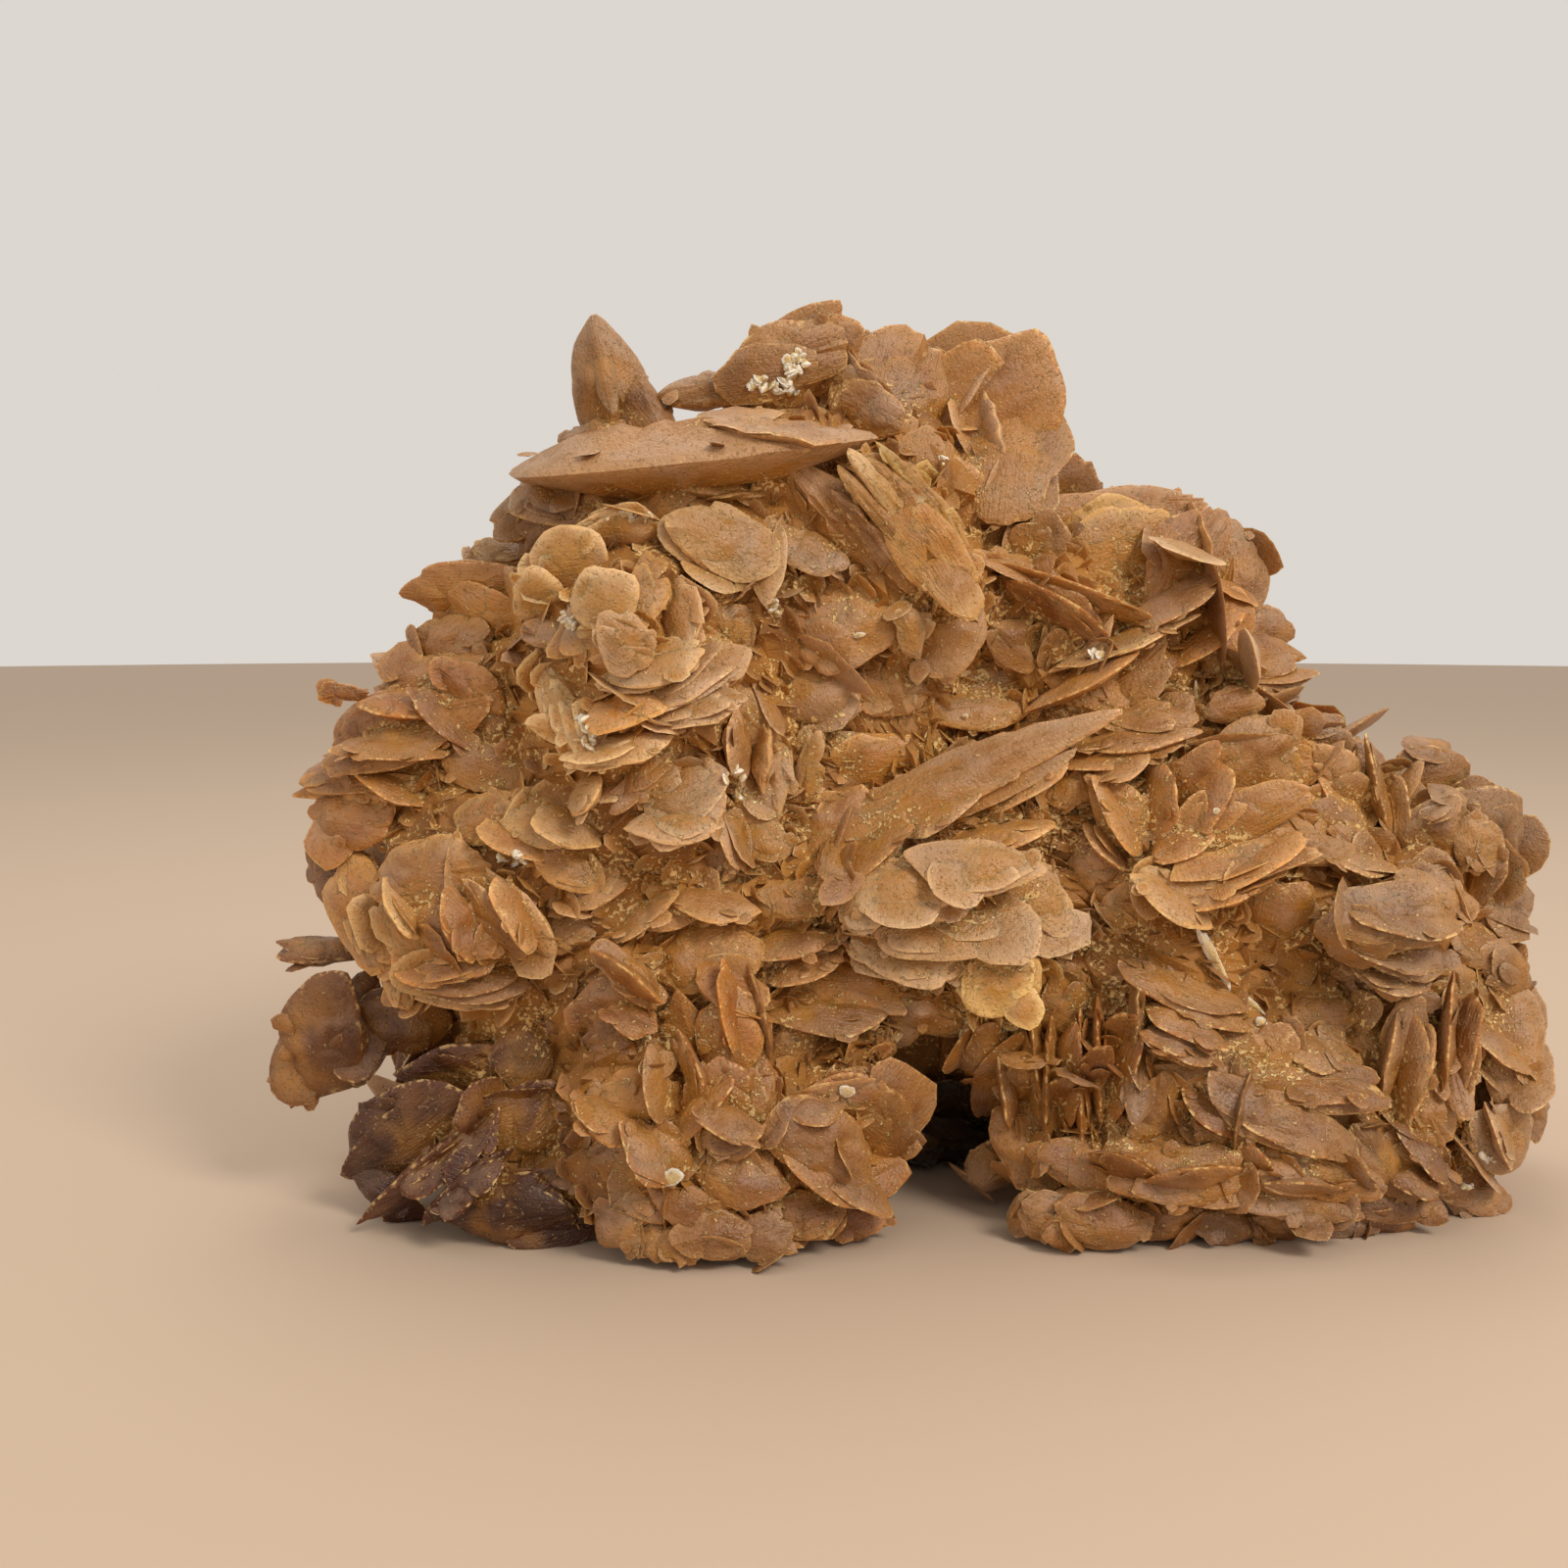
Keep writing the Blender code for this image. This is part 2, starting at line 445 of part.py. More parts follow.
def lump_object(name, centre, half_sizes, dice):
    """Rough ellipsoid with flat facets."""
    mesh = bpy.data.meshes.new(name)
    shape = bmesh.new()
    bmesh.ops.create_icosphere(shape, subdivisions=2, radius=1.0)
    for vertex in shape.verts:
        swell = dice.uniform(*SWELL_RANGE)
        for axis in range(3):
            vertex.co[axis] = (centre[axis] + vertex.co[axis] * half_sizes[axis] * swell) * MM
    shape.to_mesh(mesh)
    shape.free()
    return bpy.data.objects.new(name, mesh)


def front_depth(across, up, places):
    """Depth of the mass at a place of the front view: that of the blades near it, weighted by closeness."""
    total = 0.0
    weights = 0.0
    for place_across, place_up, depth in places:
        apart = (across - place_across) ** 2 + (up - place_up) ** 2
        weight = 1.0 / (apart + SMOOTHING) ** 2
        total += weight * depth
        weights += weight
    return total / weights


def outline_at(way_round):
    """Point of the outline after a share of its length."""
    ends = [Vector(point) for point in BODY_OUTLINE + BODY_OUTLINE[:1]]
    lengths = [(after - before).length for before, after in zip(ends[:-1], ends[1:])]
    left = (way_round % 1.0) * sum(lengths)
    for start, end, length in zip(ends[:-1], ends[1:], lengths):
        if left <= length:
            return start.lerp(end, left / length)
        left -= length
    return ends[0]


def back_place(across, up, share):
    """Point of the back under a point of the outline, drawn in towards the middle of the dome."""
    if abs(across) < ARCH_REACH and up < ARCH_TOP:
        up = 0.0
    middle_across, middle_up = BODY_MIDDLE
    x = middle_across + (across - middle_across) * share
    z = middle_up + (up - middle_up) * share
    return Vector((x, BACK_DEPTH - BACK_DROP * share**4, max(z, LOWEST)))


def body_object(name, places):
    """Mass behind the blades: rings that shrink to one point in front and to one at the back."""
    middle_across, middle_up = BODY_MIDDLE
    rings = []
    for share in BODY_SHARES + (1.0,):
        ring = []
        for across, up in BODY_OUTLINE:
            across = middle_across + (across - middle_across) * share
            up = middle_up + (up - middle_up) * share
            set_back = RIM_SET_BACK if share == 1.0 else BODY_SET_BACK
            ring.append(pushed(across, up, front_depth(across, up, places) + set_back)[0])
        rings.append(ring)
    count = len(BODY_OUTLINE)
    for share in BACK_SHARES:
        rings.append([back_place(*point, share) for point in BODY_OUTLINE])
    mesh = bpy.data.meshes.new(name)
    shape = bmesh.new()
    front_end = pushed(middle_across, middle_up, front_depth(middle_across, middle_up, places))[0]
    first = shape.verts.new(front_end * MM)
    last = shape.verts.new(back_place(*BODY_MIDDLE, 0.0) * MM)
    rows = [[shape.verts.new(point * MM) for point in ring] for ring in rings]
    for index in range(count):
        after = (index + 1) % count
        shape.faces.new((first, rows[0][after], rows[0][index]))
        shape.faces.new((last, rows[-1][index], rows[-1][after]))
        for inner, outer in zip(rows[:-1], rows[1:]):
            shape.faces.new((inner[index], inner[after], outer[after], outer[index]))
    bmesh.ops.triangulate(shape, faces=shape.faces)
    bmesh.ops.recalc_face_normals(shape, faces=shape.faces)
    shape.to_mesh(mesh)
    shape.free()
    return bpy.data.objects.new(name, mesh)


def all_shapes():
    """Every blade and lump as its own closed mesh object."""
    dice = random.Random(SEED)
    places = [row[:3] for group in FRONT_GROUPS for row in group]
    made = [body_object("body", places)]
    for number, row in enumerate(FEET):
        made.append(lump_object(f"foot_{number}", row[:3], row[3:], dice))
    for group in FRONT_GROUPS:
        for across, up, depth, length, breadth, thickness, spin, lean, turn in group:
            centre, spread = pushed(across, up, depth)
            axes = blade_axes(spin, lean, turn)
            size = (length * spread + UNDERLAP, breadth * spread + UNDERLAP, thickness * THICKNESS_SHARE)
            made.append(blade_object(f"blade_{len(made)}", centre, axes, *size, dice))
    middle = Vector((BODY_MIDDLE[0], BACK_DEPTH - BACK_DROP, BODY_MIDDLE[1]))
    for share, count in BACK_BLADES:
        for index in range(count):
            place = outline_at((index + dice.uniform(*PLACE_RANGE)) / count)
            centre = back_place(*place, share)
            out = (centre - middle).normalized()
            side = out.cross(Vector((0.0, 0.0, 1.0))).normalized()
            rise = side.cross(out)
            tilt = math.radians(dice.uniform(*TILT_RANGE))
            spin = dice.uniform(0.0, 2.0 * math.pi)
            aside = side * math.cos(spin) + rise * math.sin(spin)
            normal = out * math.cos(tilt) + aside * math.sin(tilt)
            long_axis = (out - normal * out.dot(normal)).normalized()
            length = (RIM_BLADE_LENGTH if share == 1.0 else BACK_BLADE_LENGTH) * dice.uniform(*LENGTH_RANGE)
            size = (length, length * dice.uniform(*WIDTH_RANGE), dice.uniform(*THICKNESS_RANGE))
            axes = (long_axis, normal.cross(long_axis), normal)
            made.append(blade_object(f"blade_{len(made)}", centre, axes, *size, dice))
    return made


def evaluated_copy(source):
    """Mesh of an object with its modifiers applied."""
    graph = bpy.context.evaluated_depsgraph_get()
    return bpy.data.meshes.new_from_object(source.evaluated_get(graph))


def keep_outer_skin(mesh):
    """Keeps the largest connected skin only: pockets sealed inside the cluster are solid in the piece."""
    shape = bmesh.new()
    shape.from_mesh(mesh)
    bmesh.ops.remove_doubles(shape, verts=shape.verts, dist=WELD)
    shape.verts.ensure_lookup_table()
    seen = set()
    skins = []
    for start in shape.verts:
        if start.index in seen:
            continue
        seen.add(start.index)
        skin = [start]
        for vertex in skin:
            for edge in vertex.link_edges:
                other = edge.other_vert(vertex)
                if other.index not in seen:
                    seen.add(other.index)
                    skin.append(other)
        skins.append(skin)
    skins.sort(key=len)
    for skin in skins[:-1]:
        bmesh.ops.delete(shape, geom=skin, context="VERTS")
    bmesh.ops.dissolve_limit(shape, angle_limit=LEVEL_ANGLE, verts=shape.verts, edges=shape.edges)
    bmesh.ops.triangulate(shape, faces=shape.faces)
    shape.to_mesh(mesh)
    shape.free()


def gypsum_material():
    """Matt honey-tan stone."""
    material = bpy.data.materials.new("gypsum")
    material.use_nodes = True
    shader = material.node_tree.nodes["Principled BSDF"]
    shader.inputs["Base Color"].default_value = GYPSUM_COLOUR
    shader.inputs["Roughness"].default_value = GYPSUM_ROUGHNESS
    return material


for old in list(bpy.data.objects):
    bpy.data.objects.remove(old, do_unlink=True)

scene_collection = bpy.context.scene.collection
shapes = all_shapes()
operands = bpy.data.collections.new("operands")
scene_collection.children.link(operands)
for shape_object in shapes[1:]:
    operands.objects.link(shape_object)
rose = shapes[0]
rose.name = "sand_rose"
scene_collection.objects.link(rose)

union = rose.modifiers.new("grown_together", "BOOLEAN")
union.operation = "UNION"
union.solver = "EXACT"
union.operand_type = "COLLECTION"
union.collection = operands
bpy.context.view_layer.update()
grown = evaluated_copy(rose)
rose.modifiers.clear()
for shape_object in shapes[1:]:
    bpy.data.objects.remove(shape_object, do_unlink=True)
bpy.data.collections.remove(operands)
rose.data = grown
keep_outer_skin(rose.data)

thin = rose.modifiers.new("fewer_slivers", "DECIMATE")
thin.decimate_type = "COLLAPSE"
thin.ratio = KEPT_SHARE
bpy.context.view_layer.update()
plain = evaluated_copy(rose)
rose.modifiers.clear()
rose.data = plain

# The undersides are worn level where the piece stands.
ground_mesh = bpy.data.meshes.new("ground")
ground_shape = bmesh.new()
block = Matrix.Translation((0.0, 0.0, -0.5 * GROUND_HEIGHT))
block @= Matrix.Diagonal((GROUND_SIDE, GROUND_SIDE, GROUND_HEIGHT, 1.0))
bmesh.ops.create_cube(ground_shape, size=1.0, matrix=block)
ground_shape.to_mesh(ground_mesh)
ground_shape.free()
ground = bpy.data.objects.new("ground", ground_mesh)
ground.hide_render = True
ground.display_type = "WIRE"
scene_collection.objects.link(ground)
level = rose.modifiers.new("worn_level", "BOOLEAN")
level.operation = "DIFFERENCE"
level.solver = "EXACT"
level.object = ground
bpy.context.view_layer.update()
standing = evaluated_copy(rose)
rose.modifiers.clear()
rose.data = standing
keep_outer_skin(rose.data)
bpy.data.objects.remove(ground, do_unlink=True)

for vertex in rose.data.vertices:
    vertex.co.x += SHIFT_X * MM
    vertex.co.y += SHIFT_Y * MM
rose.data.name = "sand_rose"
rose.data.materials.clear()
rose.data.materials.append(gypsum_material())
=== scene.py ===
"""Gypsum sand rose: a natural cluster of lens-shaped crystal blades, finished for close views."""

import math
import random

import bpy
import numpy as np
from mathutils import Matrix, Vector
from mathutils.bvhtree import BVHTree


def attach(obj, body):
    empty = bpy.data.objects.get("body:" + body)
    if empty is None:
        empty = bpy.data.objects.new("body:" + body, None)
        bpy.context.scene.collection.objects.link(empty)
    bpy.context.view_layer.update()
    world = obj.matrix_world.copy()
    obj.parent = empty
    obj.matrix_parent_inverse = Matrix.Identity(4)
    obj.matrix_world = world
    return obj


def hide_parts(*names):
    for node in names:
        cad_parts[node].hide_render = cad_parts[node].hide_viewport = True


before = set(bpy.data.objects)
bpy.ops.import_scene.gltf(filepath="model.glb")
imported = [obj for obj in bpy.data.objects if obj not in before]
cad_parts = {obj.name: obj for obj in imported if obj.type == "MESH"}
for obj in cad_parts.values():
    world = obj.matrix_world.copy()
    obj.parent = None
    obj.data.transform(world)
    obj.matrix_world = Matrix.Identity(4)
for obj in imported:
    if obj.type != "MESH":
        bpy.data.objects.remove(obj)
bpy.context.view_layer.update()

# ---------------------------------------------------------------------------------------------
# Horn: the upright shark-fin blade at the top left, with a thin brown splinter grown along it,
# and the long level blade that it stands on. Gypsum, worn smooth and dusty pink, one paler rib.
# ---------------------------------------------------------------------------------------------

MM = 0.001
NODE = "sand_rose"
# Front places lie on an upright drawing plane and are pushed along lines from one eye point (mm).
EYE_ACROSS = -18.9
EYE_UP = 86.0
EYE_DISTANCE = 228.6
# Shift (mm) that brings the middle of the bounding box over the origin.
SHIFT = np.array([-1.0, -20.5, 0.0])
# Lowest level (mm) that a crystal reaches: the rose is worn level where it stands.
LOWEST = 0.05

# Colours of the mineral (linear): each blade has one of these tones.
TONES = {
    "h": (0.4, 0.2, 0.068),  # honey tan
    # Tone a is the amber of the mineral, saturated further as a painted glow of plates lit through.
    "a": (0.42, 0.195, 0.048),  # amber
    "o": (0.34, 0.152, 0.046),  # orange brown
    "p": (0.385, 0.208, 0.096),  # pinkish beige dust
    "g": (0.37, 0.215, 0.115),  # grey beige
    "k": (0.15, 0.058, 0.016),  # dark brown
    "l": (0.46, 0.275, 0.13),  # light tan
    "y": (0.5, 0.3, 0.1),  # light yellow
    # Tone b is painted shade: the brown of blades on the shadow side; on the back it is one plain tone among
    # others.
    "b": (0.26, 0.118, 0.044),  # brown
    "w": (0.82, 0.70, 0.55),  # white calcite
}
# Most that a crystal is lighter or darker than its tone: blades, leaves, side plates, petals,
# rim flakes and back blades.
BLADE_SWING = 0.18
LEAF_SWING = 0.08
PLATE_SWING = 0.16
PETAL_SWING = 0.14
FLAKE_SWING = 0.15
BACK_SWING = 0.15
FLAKE_LIGHTER = 1.05

# Rings of a leaf from its front pole to its back pole: share of the outline and height in half
# thicknesses. Smaller and smaller crystals take fewer rings and fewer points round the rim.
LARGE_RINGS = (
    (0.3, 0.90), (0.55, 0.70), (0.76, 0.46), (0.9, 0.27), (0.97, 0.14), (1.0, 0.0), (0.94, -0.2),
    (0.55, -0.7),
)
SMALL_RINGS = ((0.35, 0.86), (0.62, 0.62), (0.84, 0.36), (0.96, 0.16), (1.0, 0.0), (0.8, -0.45))
PETAL_RINGS = ((0.5, 0.75), (0.8, 0.42), (0.95, 0.19), (1.0, 0.0), (0.85, -0.4))
PLATE_RINGS = ((0.6, 0.7), (0.93, 0.28), (1.0, 0.0))
FLAKE_RINGS = ((0.7, 0.6), (1.0, 0.0))
LARGE_AROUND = 38
SMALL_AROUND = 24
PETAL_AROUND = 16
PLATE_AROUND = 14
FLAKE_AROUND = 8
LARGE_LENGTH = 8.4  # half length (mm) from which a leaf counts as large
# Depth of the notches in the rim, least and most lobes round it, and cup of the face.
LEAF_LOBES = 0.09
LARGE_LOBE_COUNT = (5, 9)
SMALL_LOBE_COUNT = (4, 7)
PLATE_LOBE_COUNT = (3, 6)
FLAKE_LOBE_COUNT = (2, 4)
LEAF_CUP = 0.04
PLEAT = 0.09

# Outline: number of sides, how far they turn off their even places (in steps) and lie from the
# middle, and the power that softens the corners between them.
SIDES = 7
SIDE_PLAY = 0.4
SIDE_DISTANCE = (0.74, 1.04)
CORNER_POWER = 9.0
# Lobes: two waves that make them uneven, and the power that narrows the notches.
WAVE_OF_TWO = 0.4
WAVE_OF_THREE = 0.25
NOTCH_POWER = 0.55
RIM_ROUGHNESS = 0.1  # in depths of a notch
# Slender blades narrow towards their ends by up to this share, and all of it from this excess of
# the length over the width on.
SLENDER_SHARE = 0.5
SLENDER_EXCESS = 1.4
# The top of a lens lies off its middle by up to this share, fading to the rim with this power.
TOP_OFFSET = 0.3
TOP_POWER = 1.3
LEVEL_FOLD = 0.6  # fold at which a pleat neither rises nor falls
# Ripple over the face: height in thicknesses, waves per mm along and across, and last ring.
RIPPLE = 0.07
RIPPLE_ALONG = (0.5, 1.6)
RIPPLE_ACROSS = 0.6
RIPPLE_END = 0.9

# Leaves on both faces of a blade: size, slip and lift in shares of the blade, thickness in
# thicknesses, and most spin and tilt (degrees), less where a half length exceeds the steady one.
LEAF_SIZE = (0.62, 0.9)
LEAF_SLIP = (0.1, 0.34)
LEAF_LIFT = (0.12, 0.34)
LEAF_THICKNESS = 0.5
BLADE_THICKNESS = 1.2
LEAF_SPIN = 30.0
LEAF_TILT = 7.0
STEADY_LENGTH = 8.0
# Side plates: slip, size and thickness in shares of the blade, offset in thicknesses, turns.
PLATE_SLIP = (0.15, 0.55)
PLATE_SIZE = (0.4, 0.8)
PLATE_THICKNESS = 0.4
PLATE_OFFSET = 0.55
PLATE_SPIN = 25.0
PLATE_TILT = 10.0
# Petals: least and most size (mm), size in shares of the blade, then length, width and thickness
# in sizes. Roots lie within the reach of the face, sunk by a share of the length that stands up.
PETAL_LIMITS = (3.2, 11.0)
PETAL_SIZE = 0.95
PETAL_LENGTH = (0.45, 0.85)
PETAL_WIDTH = (0.55, 1.15)
PETAL_THICKNESS = (0.12, 0.22)
PETAL_REACH = 0.92
PETAL_OUTWARD = 0.5
PETAL_LIFT = 0.35
PETAL_SINK = 0.62
PETAL_SPIN = 35.0
PETAL_TILT = 10.0
# Flakes along the rims: size (mm), width and thickness in sizes, place, lift and turns.
FLAKE_LEAST = 3
FLAKE_SIZE = (0.9, 2.4)
FLAKE_WIDTH = (0.6, 1.0)
FLAKE_THICKNESS = (0.22, 0.4)
FLAKE_REACH = (0.45, 0.86)
FLAKE_LIFT = (-0.2, 0.35)
FLAKE_SPIN = 30.0
FLAKE_TILT = 20.0
FRONT_SPACING = 9.0
# Seed of the first group of blades; each next group has the next seed.
FIRST_SEED = 11
# Faces that meet at more than this angle have a sharp edge. An upright face holds this share of
# the dust that a level one does.
SHARP_ANGLE = math.radians(32)
UPRIGHT_DUST = 0.45

grown = []


def pushed(across, up, depth):
    """Points of the drawing plane moved along their lines from the eye to the given depth (mm),
    and by how much distances spread on the way."""
    spread = 1.0 + depth / EYE_DISTANCE
    x = EYE_ACROSS + (across - EYE_ACROSS) * spread
    z = EYE_UP + (up - EYE_UP) * spread
    return np.stack([x, depth, z], axis=-1), spread


def swung(first, second, angle):
    """Two axes turned in the plane that they span, by the same angle."""
    return (
        first * np.cos(angle) - second * np.sin(angle),
        second * np.cos(angle) + first * np.sin(angle),
    )


def blade_axes(spin, lean, turn):
    """Long, wide and face axes of blades: spin turns them in the front view, lean tips the upper
    side back about the long axis, and turn swings the far end back about the wide axis."""
    spin, lean, turn = np.radians([spin, lean, turn])[..., None]
    long_axis = np.concatenate([np.cos(spin), 0 * spin, np.sin(spin)], axis=-1)
    wide = np.concatenate([-np.sin(spin), 0 * spin, np.cos(spin)], axis=-1)
    wide, face = swung(wide, np.broadcast_to([0.0, -1.0, 0.0], wide.shape), lean)
    long_axis, face = swung(long_axis, face, turn)
    return np.stack([long_axis, wide, face], axis=1)


def turned(axes, dice, spin, tilt):
    """Axes turned about their own face axis by up to spin, and tipped by up to tilt (degrees)."""
    swings = dice.uniform(-1, 1, (3, len(axes), 1))
    spin, lean, turn = (np.radians(swing * most) for swing, most in zip(swings, (spin, tilt, tilt)))
    long_axis, wide, face = axes[:, 0], axes[:, 1], axes[:, 2]
    wide, long_axis = swung(wide, long_axis, spin)
    wide, face = swung(wide, face, lean)
    long_axis, face = swung(long_axis, face, turn)
    return np.stack([long_axis, wide, face], axis=1)


def varied(tint, swing, dice, lighter=1.0):
    """Colours of crystals, each made lighter or darker by up to the swing."""
    return tint * (lighter + swing * dice.uniform(-1, 1, (len(tint), 1)))


def blades_from(rows, dice):
    """Crystals of listed rows: across, up, depth, half length, half width, thickness (mm),
    spin, lean and turn (degrees), and the letter of the tone."""
    values = np.array([row[:9] for row in rows], float)
    centre, spread = pushed(*values[:, :3].T)
    size = values[:, 3:6] * np.stack([spread, spread, 0 * spread + 1.0], axis=-1)
    tint = varied(np.array([TONES[row[9]] for row in rows]), BLADE_SWING, dice)
    axes = blade_axes(*values[:, 6:9].T)
    return {"place": values[:, :3], "centre": centre, "axes": axes, "size": size, "tint": tint}


def soft_polygons(angle, count, dice):
    """Distances of rims from their middles at an angle: polygons of uneven sides with softened
    corners, the sum of (cos(angle - side) / distance of the side)^p to the power -1/p."""
    facing = (np.arange(SIDES) + dice.uniform(-SIDE_PLAY, SIDE_PLAY, (count, SIDES))) * (2 * np.pi / SIDES)
    away = dice.uniform(*SIDE_DISTANCE, (count, SIDES))
    pull = np.maximum(np.cos(angle[..., None] - facing[:, None]), 0.0) / away[:, None]
    return (pull**CORNER_POWER).sum(-1) ** (-1.0 / CORNER_POWER)


def shells(crystals, rings, around, dice, lobe_depth, cup, lobe_count, pleat=PLEAT):
    """Closed lens shells. With s the share of the ring and a the angle round it, a point is centre
    + long axis * half length * (R s cos a + offset of the top) + wide axis * half width * (R s sin a,
    less near the ends of a slender blade, + offset) + face axis * (height(s) * half thickness +
    half length * cup * s^2 + half width * pleat * s * (fold - level) + ripple). R is the soft polygon,
    cut back in the notches between the lobes. The fold is 0 in a notch and 1 on a lobe, so that a
    valley runs from each notch to the middle."""
    count = len(crystals["centre"])
    rows = np.concatenate([[(0.0, 1.0)], np.repeat(rings, around, axis=0), [(0.0, -1.0)]])
    share, height = rows.T
    turns = np.tile(np.arange(around), len(rings)) * (2 * np.pi / around)
    angle = np.concatenate([[0.0], turns, [0.0]])[None]

    def pick(low, high, whole=False):
        """One random number for every crystal, rounded where it has to be whole."""
        value = dice.uniform(low, high, (count, 1))
        return np.round(value) if whole else value

    length, width, thickness = (crystals["size"][:, i, None] for i in range(3))
    outline = soft_polygons(angle, count, dice)
    warped = angle + WAVE_OF_TWO * np.sin(2 * angle + pick(0, 6))
    warped = warped + WAVE_OF_THREE * np.sin(3 * angle + pick(0, 6))
    fold = np.abs(np.sin(0.5 * pick(*lobe_count, True) * warped + pick(0, 6)))
    outline -= lobe_depth * pick(0.3, 1.0) * (1 - fold**NOTCH_POWER)
    rough = dice.uniform(-1, 1, (count, around)) * RIM_ROUGHNESS * lobe_depth
    blank = np.zeros((count, 1))
    outline += np.concatenate([blank, np.tile(rough, len(rings)), blank], 1)
    slender = np.clip((length / width - 1.0) / SLENDER_EXCESS, 0.0, 1.0) * SLENDER_SHARE * pick(0.4, 1.0)
    along = length * outline * share * np.cos(angle)
    aside = width * outline * share * np.sin(angle) * (1 - slender + slender * np.abs(np.sin(angle)))
    along += length * pick(-TOP_OFFSET, TOP_OFFSET) * (1 - share) ** TOP_POWER
    aside += width * pick(-TOP_OFFSET, TOP_OFFSET) * (1 - share) ** TOP_POWER
    dish = pick(-1, 1) * np.cos(angle) + pick(-1, 1) * np.sin(angle) + pick(-1, 1)
    rise = 0.5 * thickness * height + length * cup * dish * share**2
    rise = rise + pleat * pick(0.3, 1.2) * width * share * (fold - LEVEL_FOLD)
    waves = along * pick(*RIPPLE_ALONG) + aside * pick(-RIPPLE_ACROSS, RIPPLE_ACROSS) + pick(0, 6)
    rise += RIPPLE * thickness * np.sin(waves) * (share < RIPPLE_END)
    local = np.stack([along, aside, rise], axis=-1)
    points = crystals["centre"][:, None] + np.einsum("nvi,nij->nvj", local, crystals["axes"])
    local = local + dice.uniform(0, 90, (count, 1, 3))

    first = np.arange(count)[:, None, None] * share.size
    here = np.arange(around)
    after = (here + 1) % around
    rows = 1 + around * np.arange(len(rings))[:, None]
    quads = np.stack([rows[:-1] + here, rows[1:] + here, rows[1:] + after, rows[:-1] + after], -1)
    fans = np.concatenate([
        np.stack([0 * here, rows[0] + here, rows[0] + after], -1),
        np.stack([0 * here + share.size - 1, rows[-1] + after, rows[-1] + here], -1),
    ])
    return {
        "points": points.reshape(-1, 3),
        "quads": (first + quads.reshape(-1, 4)).reshape(-1, 4),
        "fans": (first + fans).reshape(-1, 3),
        "tint": np.repeat(crystals["tint"], share.size, axis=0),
        "share": np.tile(share, count),
        "local": local.reshape(-1, 3),
        "valley": ((1 - fold) * share * np.ones((count, 1))).ravel(),
    }


def flakes(crystals, dice, lobe_depth=0.3):
    """Shells of the smallest crystals, flat and deeply notched."""
    return shells(crystals, FLAKE_RINGS, FLAKE_AROUND, dice, lobe_depth, 0.0, FLAKE_LOBE_COUNT)


def slipped(blades, pick, slip, way, lift):
    """Centres of the picked blades, slipped in their planes by a share of their size in a
    direction, and lifted off by an amount along their face axes."""
    parent = blades["size"][pick]
    move = np.stack([parent[:, 0] * slip * np.cos(way), parent[:, 1] * slip * np.sin(way), lift], -1)
    return blades["centre"][pick] + np.einsum("ni,nij->nj", move, blades["axes"][pick])


def leaves(blades, dice, over):
    """Each blade as a lens of its full size with thinner leaves grown on both of its faces: they
    are smaller, slipped off its middle and a little tipped, so that their rims make terraces."""
    number = 1 + dice.integers(over[0], over[1] + 1, len(blades["centre"]))
    pick = np.repeat(np.arange(len(number)), number)
    order = np.arange(len(pick)) - np.repeat(np.cumsum(number) - number, number)
    main = order == 0
    side = np.where(order % 3 == 2, -1.0, 1.0)
    parent = blades["size"][pick]
    count = len(pick)
    shrink = np.where(main, 1.0, dice.uniform(*LEAF_SIZE, count))
    way = dice.uniform(0, 2 * np.pi, count)
    slip = np.where(main, 0.0, dice.uniform(*LEAF_SLIP, count))
    lift = np.where(main, 0.0, side * dice.uniform(*LEAF_LIFT, count)) * parent[:, 2]
    steady = np.where(main, 0.0, np.minimum(1.0, STEADY_LENGTH / parent[:, 0]))[:, None]
    thinner = np.where(main, BLADE_THICKNESS, LEAF_THICKNESS)
    return {
        "centre": slipped(blades, pick, slip, way, lift),
        "axes": turned(blades["axes"][pick], dice, LEAF_SPIN * steady, LEAF_TILT * steady),
        "size": parent * np.stack([shrink, shrink, thinner], -1),
        "tint": varied(blades["tint"][pick], LEAF_SWING, dice),
    }


def side_plates(blades, dice, per_blade):
    """Thin plates grown nearly parallel on both faces of the blades, slipped towards the rim."""
    pick = np.repeat(np.arange(len(blades["centre"])), per_blade)
    count = len(pick)
    parent = blades["size"][pick]
    way = dice.uniform(0, 2 * np.pi, count)
    slip = dice.uniform(*PLATE_SLIP, count)
    side = np.where(dice.random(count) < 0.5, 1.0, -1.0)
    lift = side * parent[:, 2] * PLATE_OFFSET * dice.uniform(0.5, 1.1, count) * (1 - 0.5 * slip)
    share = dice.uniform(*PLATE_SIZE, (count, 1)) * [1.0, 1.0, 0.0] + np.array([0.0, 0.0, PLATE_THICKNESS])
    return {
        "centre": slipped(blades, pick, slip, way, lift),
        "axes": turned(blades["axes"][pick], dice, PLATE_SPIN, PLATE_TILT),
        "size": parent * share,
        "tint": varied(blades["tint"][pick], PLATE_SWING, dice),
    }


def to_rim(axes, parent, way):
    """Steps from the middle of blades to their rims, in directions given by an angle."""
    return axes[:, 0] * parent[:, :1] * np.cos(way) + axes[:, 1] * parent[:, 1:2] * np.sin(way)


